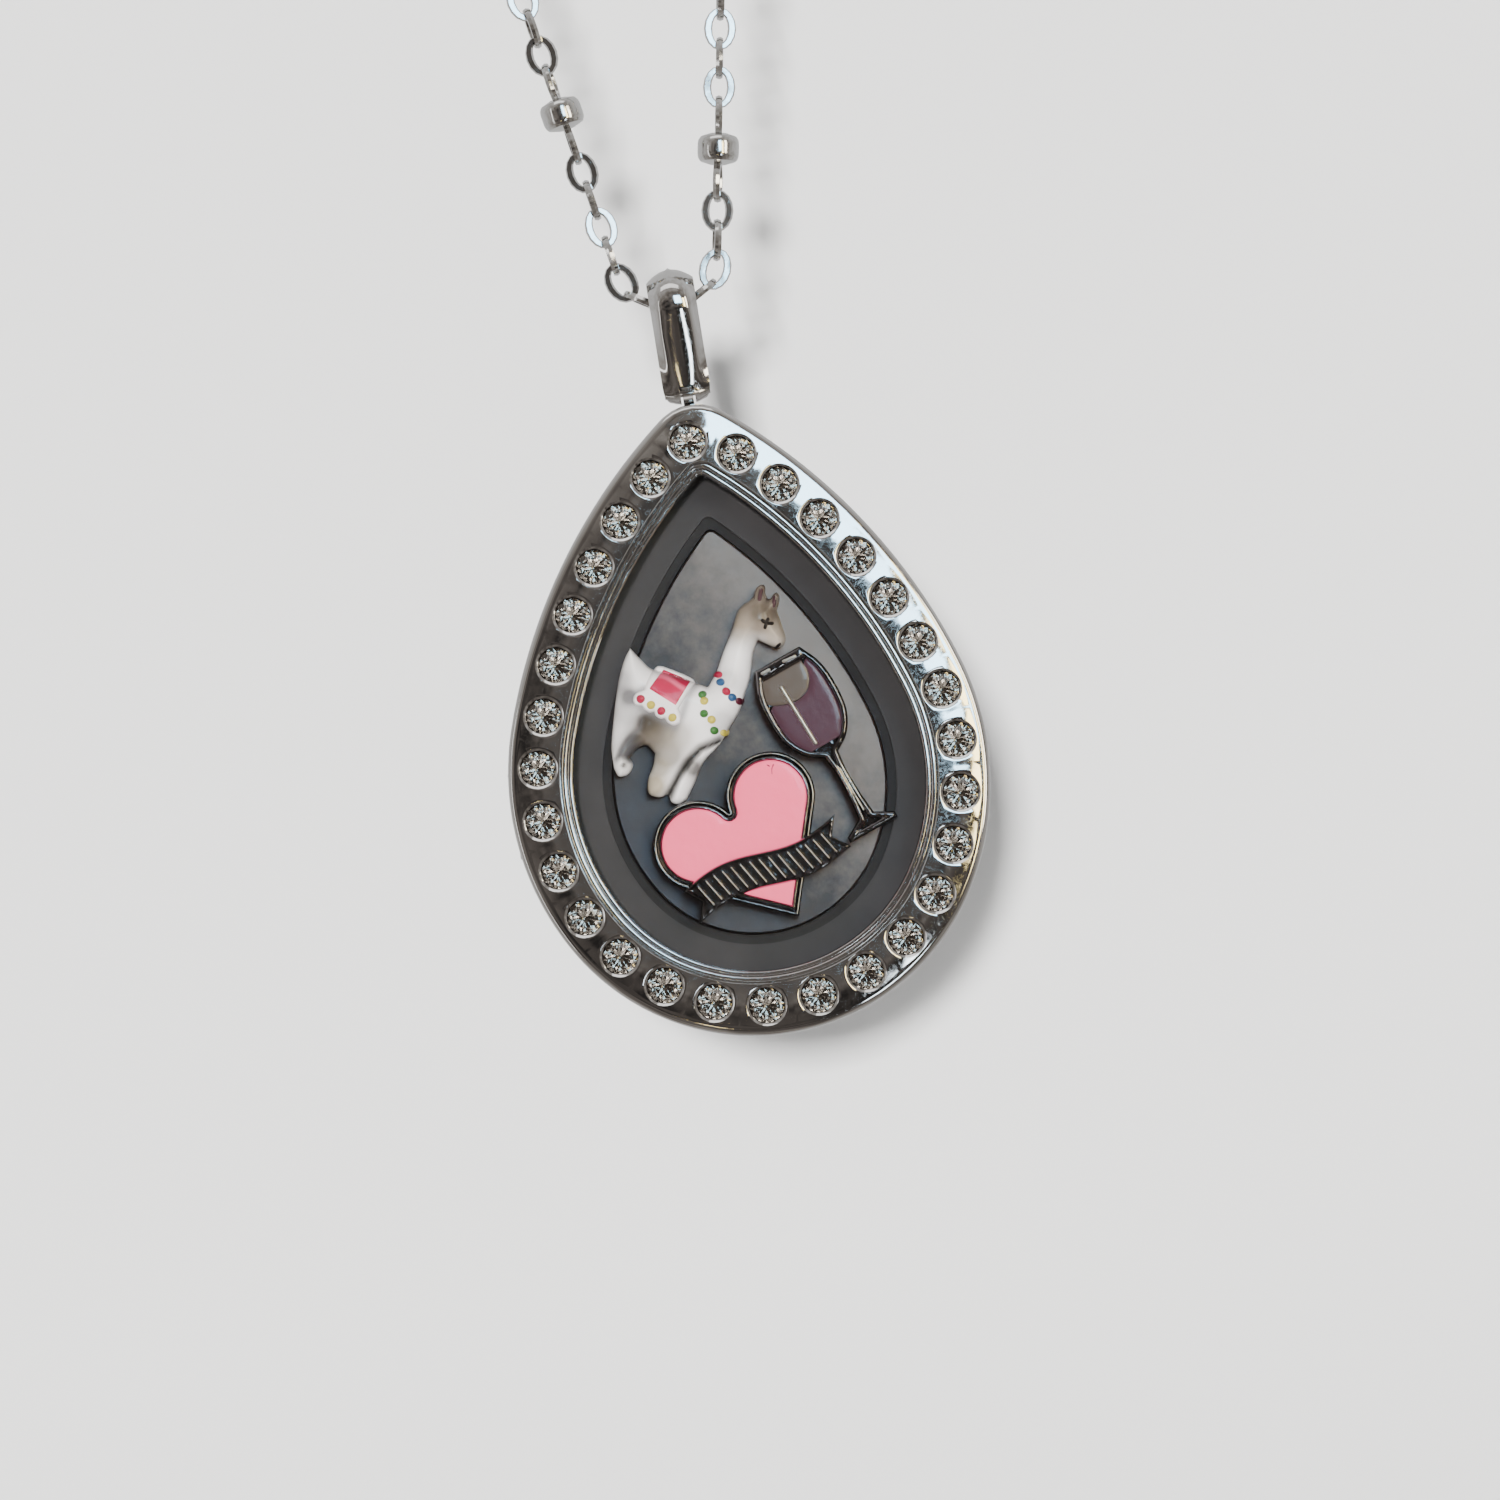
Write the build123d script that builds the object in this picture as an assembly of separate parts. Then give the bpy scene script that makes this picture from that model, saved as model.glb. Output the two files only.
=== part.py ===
from build123d import *
import math
import os

# Floating locket on a long satellite chain, in millimetres.
# X runs to the wearer's left, -Y is the glass front, +Z is up.
# The origin is the underside of the clasp, where the chain lies on the nape.

# Teardrop outline of the locket: round bottom, fuller sides, long flanks, rounded tip
bottom_r = 11.15
side_r = 13.4
flank_r = 28.1
tip_r = 3.45
corner_r = 2.4
corner_w = 1.4
low_join_deg = -31.0
high_join_deg = 18.0
inner_tip_r = 0.4

# Depths of the two halves, measured from the parting plane
front_depth = 3.3
back_depth = 3.2
parting_gap = 0.08

# Front bezel, widths measured inwards from the outline
edge_bevel = 0.25
edge_drop = 0.35
face_w = 2.5
face_crown = 0.2
shoulder_w = 0.65
bead_w = 0.3
groove_w = 0.08
groove_depth = 0.22
lip_w = 3.1
lip_t = 0.45
glass_seat_w = 2.6
ridge_w = 2.8
glass_t = 0.8
glass_clear = 0.05

# Crystals and their seats
crystal_count = 29
crystal_shift = 0.37
crystal_d = 1.66
crystal_line = 1.43
crystal_table_share = 0.56
crystal_crown = 0.27
crystal_girdle = 0.05
crystal_pavilion = 0.68
crystal_clear = 0.05
seat_rim_d = 1.98
seat_rim_drop = 0.16

# Back case, plate and dark ring
case_bevel = 0.45
case_seat_w = 2.5
case_lip_w = 2.95
case_lip_t = 0.4
plate_flange_t = 0.5
plate_w = 4.9
plate_face_y = 1.0
plate_edge = 0.08
ring_step_w = 4.4
ring_front_drop = 0.2
ring_step_drop = 0.3
ring_clear = 0.06

# Lid hinge on the side, hidden behind the bezel's edge
knuckle_r = 0.6
knuckle_l = 1.3
knuckle_gap = 0.1
hinge_pin_r = 0.25
hinge_run_clear = 0.04
hinge_sweep_clear = 0.13
hinge_inset = 0.02

# Bail, its pin and the eye of the case
bail_w = 2.2
bail_t = 0.72
bail_depth = 3.6
bail_h = 6.75
boss_r = 0.74
bail_round = 0.6
bail_low_r = 0.3
bail_pin_r = 0.27
pin_fit_clear = 0.015
eye_t = 0.5
eye_r = 0.7
eye_run_clear = 0.05
fork_clear = 0.1
tip_clear = 0.16
eye_stem_t = 0.55

# Chain: tube over the links, rondelle beads, neck loop
chain_r = 0.6
chain_in_bail_clear = 0.42
chain_corner_x = 2.1
neck_r = 52.1
strand_deg = 10.0
neck_turns = 5
bead_r = 1.0
bead_l = 1.5
bead_end_r = 0.45
bead_step = 20.1
bead_first = 11.5
run_share = 0.45

# Plain clasp at the nape
clasp_l = 11.0
clasp_r = 1.3
clasp_quarter_r = 1.2
clasp_end_r = 0.75
clasp_gap = 0.12

# Charms: places in the locket, measured from the round bottom's centre, and depths
charm_back_y = 0.8
charm_t = 1.2
enamel_drop = 0.12
enamel_clear = 0.03
rim_t = 0.3

llama_w = 9.2
llama_h = 9.85
llama_x = -6.36
llama_z = 0.5
llama_t = 1.4
llama_relief = 0.35
blanket_t = 0.14

glass_charm_h = 9.3
glass_charm_w = 3.7
glass_charm_x = 5.46
glass_charm_z = -2.0
glass_charm_lean = 20.4
wine_level = 7.4
glint_w = 0.18
glint_l = 3.0
glint_x = -0.4

heart_lobe_r = 2.15
heart_lobe_x = 2.1
heart_lobe_z = 5.55
heart_x = 1.31
heart_z = -5.71
heart_lean = 25.0
heart_rim = 0.42
banner_l = 8.2
banner_h = 1.75
banner_z = 2.75
banner_lean = -7.0
banner_raise = 0.3
banner_wave = 0.35
banner_ridges = 11
banner_rim = 0.2
ridge_t = 0.14


def polar(centre, radius, angle):
    return (
        centre[0] + radius * math.cos(math.radians(angle)),
        centre[1] + radius * math.sin(math.radians(angle)),
    )


# Centres of the right-hand arcs, in the locket's own width and height
low_centre = (0.0, 0.0)
side_centre = polar(low_centre, bottom_r - side_r, low_join_deg)
flank_centre = polar(side_centre, side_r - flank_r, high_join_deg)
half_w = side_centre[0] + side_r


def tip_centre_z(flank_radius, tip_radius):
    reach = flank_radius - tip_radius
    return flank_centre[1] + math.sqrt(reach**2 - flank_centre[0] ** 2)


tip_z = tip_centre_z(flank_r, corner_r) + corner_r

# Heights of the whole: neck circle, chain in the bail, bail pin, locket centre
chain_neck_r = neck_r + chain_r
chain_top_z = clasp_r
neck_z = chain_top_z - chain_neck_r
strand_rad = math.radians(strand_deg)
chain_low_z = neck_z - (chain_neck_r - chain_corner_x * math.cos(strand_rad)) / math.sin(strand_rad)
bail_top_over_pin = bail_h - boss_r
chain_over_pin = bail_top_over_pin - bail_t - chain_in_bail_clear - chain_r
pin_z = chain_low_z - chain_over_pin
locket_z = pin_z - tip_clear - boss_r - tip_z
hinge_x = -(half_w - knuckle_r - hinge_inset)
hinge_z = locket_z + side_centre[1]


def right_arcs(inset, tip_radius):
    """The right half's arcs from the tip down: centre, radius, upper and lower angle."""
    top_z = tip_centre_z(flank_r - inset, tip_radius)
    tip_join = math.degrees(math.atan2(top_z - flank_centre[1], -flank_centre[0]))
    return [
        ((0.0, top_z), tip_radius, 90.0, tip_join),
        (flank_centre, flank_r - inset, tip_join, high_join_deg),
        (side_centre, side_r - inset, high_join_deg, low_join_deg),
        (low_centre, bottom_r - inset, low_join_deg, -90.0),
    ]


def tip_radius_at(inset):
    return max(tip_r - inset, inner_tip_r)


def all_arcs(inset):
    """Every arc once round, counter-clockwise: centre, radius, start angle, size."""
    tip, flank, side, low = right_arcs(inset, tip_radius_at(inset))
    whole = [(low[0], low[1], 180.0 - low[2], 180.0 + 2 * low[2])]
    for centre, radius, upper, lower in (side, flank):
        whole.append((centre, radius, lower, upper - lower))
    whole.append((tip[0], tip[1], tip[3], 180.0 - 2 * tip[3]))
    for centre, radius, upper, lower in (flank, side):
        whole.append(((-centre[0], centre[1]), radius, 180.0 - upper, upper - lower))
    return whole


def corner_arcs():
    """The tighter corner of the outer edge at the tip, and the flanks' short runs up to it."""
    corner, flank = right_arcs(0.0, corner_r)[:2]
    wide_join = right_arcs(0.0, tip_r)[0][3]
    join = corner[3]
    return [
        (corner[0], corner[1], join, 180.0 - 2 * join),
        (flank[0], flank[1], wide_join, join - wide_join),
        ((-flank[0][0], flank[0][1]), flank[1], 180.0 - join, join - wide_join),
    ]


def teardrop(inset):
    arcs = []
    for centre, radius, start, size in all_arcs(inset):
        arcs.append(CenterArc(centre, radius, start, size))
    return make_face(arcs)


def slab(sketch, y_front, y_back, base_z):
    """A sketch of width and height as a plate between two depths."""
    plane = Plane(origin=(0, y_back, base_z), x_dir=(1, 0, 0), z_dir=(0, -1, 0))
    return extrude(plane * sketch, amount=y_back - y_front)


def profile(radius, start, steps):
    """A closed section from insets and depths; a step of two points is an arc."""
    here = (radius - start[0], start[1])
    first = here
    edges = []
    for step in steps:
        end = (radius - step[-1][0], step[-1][1])
        if len(step) == 2:
            middle = (radius - step[0][0], step[0][1])
            edges.append(ThreePointArc(here, middle, end))
        else:
            edges.append(Line(here, end))
        here = end
    edges.append(Line(here, first))
    return make_face(edges)


def carried_round(arcs, start, steps):
    """The section carried round, arc by arc."""
    whole = None
    for centre, radius, angle, size in arcs:
        out = (math.cos(math.radians(angle)), 0, math.sin(math.radians(angle)))
        ahead = (-out[2], 0, out[0])
        origin = (centre[0], 0, locket_z + centre[1])
        plane = Plane(origin=origin, x_dir=out, z_dir=ahead)
        turned = revolve(plane * profile(radius, start, steps), Axis(origin, (0, -1, 0)), size)
        whole = turned if whole is None else whole + turned
    return whole


def crystal_places():
    """Centres of the crystals: the first just short of the tip, then clockwise at equal steps."""
    arcs = right_arcs(crystal_line, tip_r - crystal_line)
    half = sum(radius * math.radians(upper - lower) for _, radius, upper, lower in arcs)
    step = 2 * half / crystal_count
    places = []
    for index in range(crystal_count):
        along = (index * step - crystal_shift) % (2 * half)
        side = 1
        if along > half:
            along = 2 * half - along
            side = -1
        for centre, radius, upper, lower in arcs:
            length = radius * math.radians(upper - lower)
            if along <= length or lower == -90.0:
                spot = polar(centre, radius, upper - math.degrees(along / radius))
                break
            along -= length
        places.append((side * spot[0], locket_z + spot[1]))
    return places


def flat(points):
    return Face(Wire.make_polygon([Vector(*point) for point in points]))


def brilliant():
    """A round brilliant with its table up at height 0: eight-fold, all facets flat."""
    girdle_r = crystal_d / 2
    table_r = girdle_r * crystal_table_share
    eighth = 45.0
    half_cos = math.cos(math.radians(eighth / 2))
    star_r = (table_r + girdle_r) / 2 / half_cos
    star_share = (star_r * half_cos - table_r) / (girdle_r - table_r)
    girdle_top = -crystal_crown
    girdle_low = girdle_top - crystal_girdle
    low_r = girdle_r * 0.25
    low_share = low_r * half_cos / girdle_r
    low_z = girdle_low - crystal_pavilion * (1 - low_share)
    culet = (0.0, 0.0, girdle_low - crystal_pavilion)

    def at(radius, place, height):
        return (*polar((0.0, 0.0), radius, place * eighth), height)

    faces = [flat([at(table_r, place, 0.0) for place in range(8)])]
    for place in range(8):
        star = at(star_r, place + 0.5, girdle_top * star_share)
        star_before = at(star_r, place - 0.5, girdle_top * star_share)
        low = at(low_r, place + 0.5, low_z)
        low_before = at(low_r, place - 0.5, low_z)
        rim = [at(girdle_r, place + part, girdle_top) for part in (0, 0.5, 1)]
        rim_low = [at(girdle_r, place + part, girdle_low) for part in (0, 0.5, 1)]
        faces.append(flat([at(table_r, place, 0.0), at(table_r, place + 1, 0.0), star]))
        faces.append(flat([at(table_r, place, 0.0), star, rim[0], star_before]))
        faces.append(flat([culet, low, rim_low[0], low_before]))
        for first, second in ((0, 1), (1, 2)):
            faces.append(flat([star, rim[first], rim[second]]))
            faces.append(flat([low, rim_low[first], rim_low[second]]))
            faces.append(flat([rim[first], rim[second], rim_low[second], rim_low[first]]))
    return Solid(Shell(faces))


def facing_front(spot, depth):
    """A place on the face whose own Z points out of the front."""
    return Plane(origin=(spot[0], -depth, spot[1]), x_dir=(1, 0, 0), z_dir=(0, -1, 0)).location


def crystal_seat():
    """Cutter for one seat: bright countersunk rim, girdle wall and pavilion cone."""
    rim_r = seat_rim_d / 2
    wall_r = crystal_d / 2 + crystal_clear
    girdle_low = -crystal_crown - crystal_girdle - crystal_clear
    floor = girdle_low - crystal_pavilion
    outline = Polyline(
        (0, floor),
        (crystal_clear, floor),
        (wall_r, girdle_low),
        (wall_r, -seat_rim_drop),
        (rim_r, 0),
        (rim_r, edge_drop),
        (0, edge_drop),
        (0, floor),
    )
    return revolve(Plane.XZ * make_face(outline), Axis.Z, 360)


def cross_pin(radius, length):
    """A cylinder along the bail's pin."""
    return Pos(0, 0, pin_z) * Cylinder(radius, length, rotation=(0, 90, 0))


def drum(radius, low_z, high_z):
    """A cylinder about the lid's hinge line."""
    solid = Cylinder(radius, high_z - low_z, align=(Align.CENTER, Align.CENTER, Align.MIN))
    return Pos(hinge_x, 0, low_z) * solid


# The three knuckles fill the hinge line: case, lid, case
knuckle_pitch = knuckle_l + knuckle_gap
lid_knuckle = (hinge_z - knuckle_l / 2, hinge_z + knuckle_l / 2)
case_knuckles = [
    (lid_knuckle[0] - knuckle_pitch, lid_knuckle[1] - knuckle_pitch),
    (lid_knuckle[0] + knuckle_pitch, lid_knuckle[1] + knuckle_pitch),
]
sweep_r = knuckle_r + hinge_sweep_clear
half_gap = parting_gap / 2

# Front bezel: crowned face, groove, bead and lip over the glass
bezel_face_y = -front_depth
face_edge_y = bezel_face_y + face_crown
shoulder_y = bezel_face_y + face_crown / 4
groove_y = face_edge_y + groove_depth
glass_front_y = groove_y + lip_t
glass_back_y = glass_front_y + glass_t
bead_in = face_w + groove_w
bead_out = bead_in + bead_w


def front_bezel():
    steps = [
        [(0.0, bezel_face_y + face_crown + edge_drop)],
        [(edge_bevel, face_edge_y)],
        [(edge_bevel + shoulder_w / 2, shoulder_y), (edge_bevel + shoulder_w, bezel_face_y)],
        [(face_w - shoulder_w, bezel_face_y)],
        [(face_w - shoulder_w / 2, shoulder_y), (face_w, face_edge_y)],
        [(face_w, groove_y)],
        [(bead_in, groove_y)],
        [((bead_in + bead_out) / 2, groove_y - bead_w / 2), (bead_out, groove_y)],
        [(lip_w, groove_y + (lip_w - bead_out))],
        [(lip_w, glass_front_y - glass_clear)],
        [(glass_seat_w, glass_front_y - glass_clear)],
        [(glass_seat_w, glass_back_y + glass_clear)],
        [(ridge_w, glass_back_y + glass_clear)],
        [(ridge_w, -half_gap)],
    ]
    bezel = carried_round(all_arcs(0.0), (0.0, -half_gap), steps)
    band = steps[:3] + [[(corner_w, bezel_face_y)], [(corner_w, -half_gap)]]
    bezel += carried_round(corner_arcs(), (0.0, -half_gap), band)
    seat = crystal_seat()
    for spot in crystal_places():
        bezel -= facing_front(spot, front_depth) * seat
    for low, high in case_knuckles:
        bezel -= drum(sweep_r, low - knuckle_gap, high + knuckle_gap)
    bezel += drum(knuckle_r, *lid_knuckle)
    return bezel - drum(hinge_pin_r + hinge_run_clear, *lid_knuckle)


# Back case: polished rim, seat for the plate, eye for the bail's pin
plate_back_y = back_depth - case_lip_t
bevel_middle = case_bevel * (1 - math.cos(math.radians(45)))


def case_back():
    steps = [
        [(0.0, back_depth - case_bevel)],
        [(bevel_middle, back_depth - bevel_middle), (case_bevel, back_depth)],
        [(case_seat_w, back_depth)],
        [(case_lip_w, back_depth - case_lip_t / 2)],
        [(case_lip_w, plate_back_y + ring_clear)],
        [(case_seat_w, plate_back_y + ring_clear)],
        [(case_seat_w, half_gap)],
    ]
    case = carried_round(all_arcs(0.0), (0.0, half_gap), steps)
    band = steps[:2] + [[(corner_w, back_depth)], [(corner_w, half_gap)]]
    case += carried_round(corner_arcs(), (0.0, half_gap), band)
    notch_x = hinge_x + hinge_sweep_clear
    notch = Box(half_w, 3 * back_depth, 2 * half_w, align=(Align.MAX, Align.MIN, Align.CENTER))
    case -= Pos(notch_x, -back_depth, hinge_z) * notch
    case -= drum(sweep_r, lid_knuckle[0] - knuckle_gap, lid_knuckle[1] + knuckle_gap)
    for low, high in case_knuckles:
        web = Box(
            knuckle_r - hinge_sweep_clear,
            knuckle_r - half_gap,
            high - low,
            align=(Align.MIN, Align.MIN, Align.MIN),
        )
        case += Pos(notch_x, half_gap, low) * web
        case += drum(knuckle_r, low, high)
        case -= drum(hinge_pin_r + pin_fit_clear, low, high)
    stem_l = pin_z - locket_z - tip_z + case_seat_w / 2
    stem = Box(eye_t, eye_stem_t, stem_l, align=(Align.CENTER, Align.MIN, Align.MAX))
    case += cross_pin(eye_r, eye_t)
    case += Pos(0, eye_r - eye_stem_t, pin_z) * stem
    return case - cross_pin(bail_pin_r + eye_run_clear, 2 * eye_t)


def hinge_pin():
    low = case_knuckles[0][0] + knuckle_gap / 2
    high = case_knuckles[1][1] - knuckle_gap / 2
    return drum(hinge_pin_r, low, high)


def back_plate():
    """Satin plate: a flange held in the case and a raised field seen through the glass."""
    flange_front_y = plate_back_y - plate_flange_t
    flange = slab(teardrop(case_seat_w + ring_clear), flange_front_y, plate_back_y, locket_z)
    field = slab(teardrop(plate_w), plate_face_y, flange_front_y, locket_z)
    field = chamfer(field.faces().sort_by(Axis.Y)[0].edges(), plate_edge)
    return flange + field


def inner_ring():
    """Dark stepped ring that lies round the raised field."""
    ring_back_y = plate_back_y - plate_flange_t - ring_clear
    front_y = plate_face_y + ring_front_drop
    whole = slab(teardrop(case_seat_w + ring_clear), front_y, ring_back_y, locket_z)
    step = slab(teardrop(ring_step_w), front_y, front_y + ring_step_drop, locket_z)
    hole = slab(teardrop(plate_w - ring_clear), front_y, ring_back_y, locket_z)
    return whole - step - hole


def front_glass():
    return slab(teardrop(glass_seat_w + glass_clear), glass_front_y, glass_back_y, locket_z)


def bail_side(top_r, low_r, top_z, low_z):
    """Side view of the bail: two circles, one above the other, and the lines that touch them."""
    lean = math.degrees(math.asin((top_r - low_r) / (top_z - low_z)))
    top_out = polar((0, top_z), top_r, -lean)
    low_out = polar((0, low_z), low_r, -lean)
    edges = [
        Line(low_out, top_out),
        ThreePointArc(top_out, (0, top_z + top_r), (-top_out[0], top_out[1])),
        Line((-top_out[0], top_out[1]), (-low_out[0], low_out[1])),
        ThreePointArc((-low_out[0], low_out[1]), (0, low_z - low_r), low_out),
    ]
    return make_face(edges)


def bail():
    """Crowned strip bent over the chain, its limbs joined in one forked boss."""
    top_z = bail_top_over_pin - bail_depth / 2
    outside = bail_side(bail_depth / 2, boss_r, top_z, 0)
    inside = bail_side(bail_depth / 2 - bail_t, bail_low_r, top_z, eye_r + fork_clear + bail_low_r)
    plane = Plane(origin=(-bail_w / 2, 0, pin_z), x_dir=(0, 1, 0), z_dir=(1, 0, 0))
    strip = extrude(plane * outside, amount=bail_w)
    ends = strip.faces().filter_by(Axis.X)
    strip = fillet(ends.edges(), bail_round)
    strip -= extrude(plane * inside, amount=bail_w)
    slot_h = eye_r + fork_clear
    slot = Box(
        eye_t + 2 * fork_clear,
        2 * bail_depth,
        boss_r + slot_h,
        align=(Align.CENTER, Align.CENTER, Align.MIN),
    )
    strip -= Pos(0, 0, pin_z - boss_r) * slot
    return strip - cross_pin(bail_pin_r + pin_fit_clear, 2 * bail_w)


def bail_pin():
    return cross_pin(bail_pin_r, bail_w)


def chain_route():
    """Corner points of the loop from the clasp's left end, down, through the bail, and up."""
    first_angle = 90 + math.degrees((clasp_l / 2 + clasp_gap) / chain_neck_r)
    last_angle = 180 + strand_deg
    half_turn = (last_angle - first_angle) / neck_turns / 2
    corner_r = chain_neck_r / math.cos(math.radians(half_turn))
    left = [polar((0, neck_z), chain_neck_r, first_angle)]
    for turn in range(neck_turns):
        left.append(polar((0, neck_z), corner_r, first_angle + (2 * turn + 1) * half_turn))
    left.append((-chain_corner_x, chain_low_z))
    right = [(-x, z) for x, z in reversed(left)]
    return left + right


def chain_radii(route):
    """Each bend's radius: a share of its shorter run over the tangent of half its turn."""
    radii = []
    for before, here, after in zip(route, route[1:], route[2:]):
        run_in = Vector(here[0] - before[0], here[1] - before[1])
        run_out = Vector(after[0] - here[0], after[1] - here[1])
        half = math.radians(run_in.get_angle(run_out) / 2)
        radii.append(run_share * min(run_in.length, run_out.length) / math.tan(half))
    return radii


def rondelle():
    half = bead_l / 2
    edges = [
        Line((0, -half), (bead_end_r, -half)),
        ThreePointArc((bead_end_r, -half), (bead_r, 0), (bead_end_r, half)),
        Line((bead_end_r, half), (0, half)),
        Line((0, half), (0, -half)),
    ]
    return revolve(Plane.XZ * make_face(edges), Axis.Z, 360)


def chain():
    """The links' outer tube with the soldered rondelles on it."""
    route = chain_route()
    radii = chain_radii(route)
    print("chain bend radii:", [round(radius, 2) for radius in radii])
    path = FilletPolyline(*[(x, 0, z) for x, z in route], radius=radii)
    print("chain length with clasp: %.1f mm" % (path.length + clasp_l + 2 * clasp_gap))
    section = Plane(origin=path @ 0, z_dir=path % 0) * Circle(chain_r)
    tube = sweep(section, path=path)
    plain_volume = math.pi * chain_r**2 * path.length
    print("tube volume over section times length: %.5f" % (tube.volume / plain_volume))
    bead = rondelle()
    middle = path.length / 2
    place = (middle - bead_first) % bead_step
    while place < path.length - bead_l:
        share = place / path.length
        if place > 2 * bead_l:
            tube += Plane(origin=path @ share, z_dir=path % share).location * bead
        place += bead_step
    return tube


def clasp():
    """Plain closed clasp: a straight barrel with turned-down ends."""
    half = clasp_l / 2
    edges = [
        Line((0, -half), (clasp_end_r, -half)),
        ThreePointArc((clasp_end_r, -half), (clasp_quarter_r, -half / 2), (clasp_r, 0)),
        ThreePointArc((clasp_r, 0), (clasp_quarter_r, half / 2), (clasp_end_r, half)),
        Line((clasp_end_r, half), (0, half)),
        Line((0, half), (0, -half)),
    ]
    barrel = revolve(Plane.XZ * make_face(edges), Axis.Z, 360)
    return Pos(0, 0, chain_top_z) * Rot(0, 90, 0) * barrel


# Llama outline: shares of its width and height, in stretches that meet at corners
llama_stretches = [
    [(0.184, 0.795), (0.227, 0.735), (0.285, 0.672), (0.42, 0.61), (0.552, 0.545)],
    [(0.552, 0.545), (0.608, 0.611), (0.663, 0.707), (0.725, 0.803), (0.775, 0.895), (0.865, 0.945)],
    [(0.865, 0.945), (0.893, 0.988), (0.93, 1.0)],
    [(0.93, 1.0), (0.925, 0.96), (0.935, 0.915)],
    [(0.935, 0.915), (0.962, 0.93), (0.985, 0.955)],
    [(0.985, 0.955), (0.998, 0.92), (0.973, 0.86)],
    [(0.973, 0.86), (0.988, 0.786), (0.995, 0.721), (0.966, 0.683), (0.925, 0.69), (0.85, 0.735)],
    [(0.85, 0.735), (0.812, 0.67), (0.781, 0.564), (0.74, 0.488), (0.696, 0.408), (0.632, 0.334)],
    [(0.632, 0.334), (0.563, 0.26), (0.471, 0.19), (0.405, 0.095), (0.35, 0.02)],
    [(0.35, 0.02), (0.305, 0.004), (0.27, 0.02), (0.262, 0.062)],
    [(0.262, 0.062), (0.21, 0.052), (0.16, 0.08), (0.168, 0.145), (0.205, 0.209), (0.225, 0.267)],
    [(0.225, 0.267), (0.19, 0.312), (0.14, 0.305), (0.088, 0.268)],
    [(0.088, 0.268), (0.103, 0.23), (0.07, 0.188), (0.02, 0.184), (0.0, 0.225)],
    [(0.0, 0.225), (0.005, 0.33), (0.039, 0.464), (0.089, 0.625), (0.14, 0.735), (0.184, 0.795)],
]
# Rounded limbs of the relief: lower end, upper end, radius as a share of the height
llama_limbs = [
    ((0.17, 0.53), (0.5, 0.43), 0.115),
    ((0.115, 0.4), (0.14, 0.52), 0.08),
    ((0.53, 0.4), (0.61, 0.5), 0.08),
    ((0.64, 0.52), (0.76, 0.78), 0.052),
    ((0.94, 0.74), (0.84, 0.83), 0.042),
    ((0.055, 0.245), (0.09, 0.37), 0.04),
    ((0.215, 0.115), (0.32, 0.3), 0.042),
    ((0.325, 0.06), (0.42, 0.25), 0.042),
]
blanket_corners = [(0.345, 0.71), (0.495, 0.6), (0.385, 0.44), (0.185, 0.555)]


def llama_spot(share):
    return (llama_x + share[0] * llama_w, llama_z + share[1] * llama_h)


def llama():
    edges = []
    for stretch in llama_stretches:
        edges.append(Spline(*[llama_spot(share) for share in stretch]))
    front_y = charm_back_y - llama_t
    figure = slab(make_face(edges), front_y + llama_relief, charm_back_y, locket_z)
    trim = slab(teardrop(0.0), front_y, charm_back_y, locket_z)
    for low, high, thick in llama_limbs:
        radius = thick * llama_h
        figure += rounded_limb(llama_spot(low), llama_spot(high), radius, front_y + radius) & trim
    return figure


def rounded_limb(low, high, radius, y):
    """A round bar with ball ends between two spots of the locket."""
    start = Vector(low[0], y, locket_z + low[1])
    along = Vector(high[0], y, locket_z + high[1]) - start
    bar = Solid.make_cylinder(radius, along.length, Plane(origin=start, z_dir=along))
    ball = Sphere(radius)
    return bar + Pos(*start) * ball + Pos(*(start + along)) * ball


def llama_blanket():
    corners = [llama_spot(share) for share in blanket_corners]
    cloth = make_face(Polyline(*corners, close=True))
    cloth = fillet(cloth.vertices(), rim_t)
    front_y = charm_back_y - llama_t - enamel_clear
    return slab(cloth, front_y - blanket_t, front_y, locket_z)


def charm_place(x, z, lean, sketch):
    return Pos(x, z) * Rot(0, 0, lean) * sketch


# Wine glass: half outline in shares of half its width and of its height, from the foot up
foot_shares = [(0.7, -0.02), (0.7, 0.012), (0.22, 0.065)]
stem_shares = [(0.22, 0.065), (0.16, 0.2), (0.15, 0.33), (0.2, 0.425)]
bowl_shares = [(0.2, 0.425), (0.62, 0.485), (0.92, 0.59), (1.0, 0.73), (0.93, 0.87), (0.66, 0.995)]


def glass_half(side):
    scale_x = side * glass_charm_w / 2
    edges = [Polyline(*[(x * scale_x, z * glass_charm_h) for x, z in foot_shares])]
    for shares in (stem_shares, bowl_shares):
        edges.append(Spline(*[(x * scale_x, z * glass_charm_h) for x, z in shares]))
    return edges


def bowl_sketch(inset, low, high):
    """The bowl's inside between two heights: each outline point moved in square to its run."""
    points = [Vector(x * glass_charm_w / 2, z * glass_charm_h) for x, z in bowl_shares]
    right = []
    for before, here, after in zip(points, points[1:], points[2:] + [points[-1]]):
        run = (after - before).normalized()
        right.append((here.X - inset * run.Y, here.Y + inset * run.X))
    left = [(-x, z) for x, z in reversed(right)]
    bottom = (0, points[0].Y + 2 * inset)
    inside = make_face([Spline(*left, bottom, *right), Line(left[0], right[-1])])
    top = min(high, points[-1].Y - inset)
    band = Rectangle(2 * glass_charm_w, top - low, align=(Align.CENTER, Align.MIN))
    return inside & Pos(0, low) * band


def glint_sketch(spread):
    spot_z = (bowl_shares[0][1] + bowl_shares[-1][1]) / 2 * glass_charm_h
    slot = SlotOverall(glint_l + 2 * spread, glint_w + 2 * spread, rotation=90)
    return Pos(glint_x, spot_z) * slot


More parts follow.
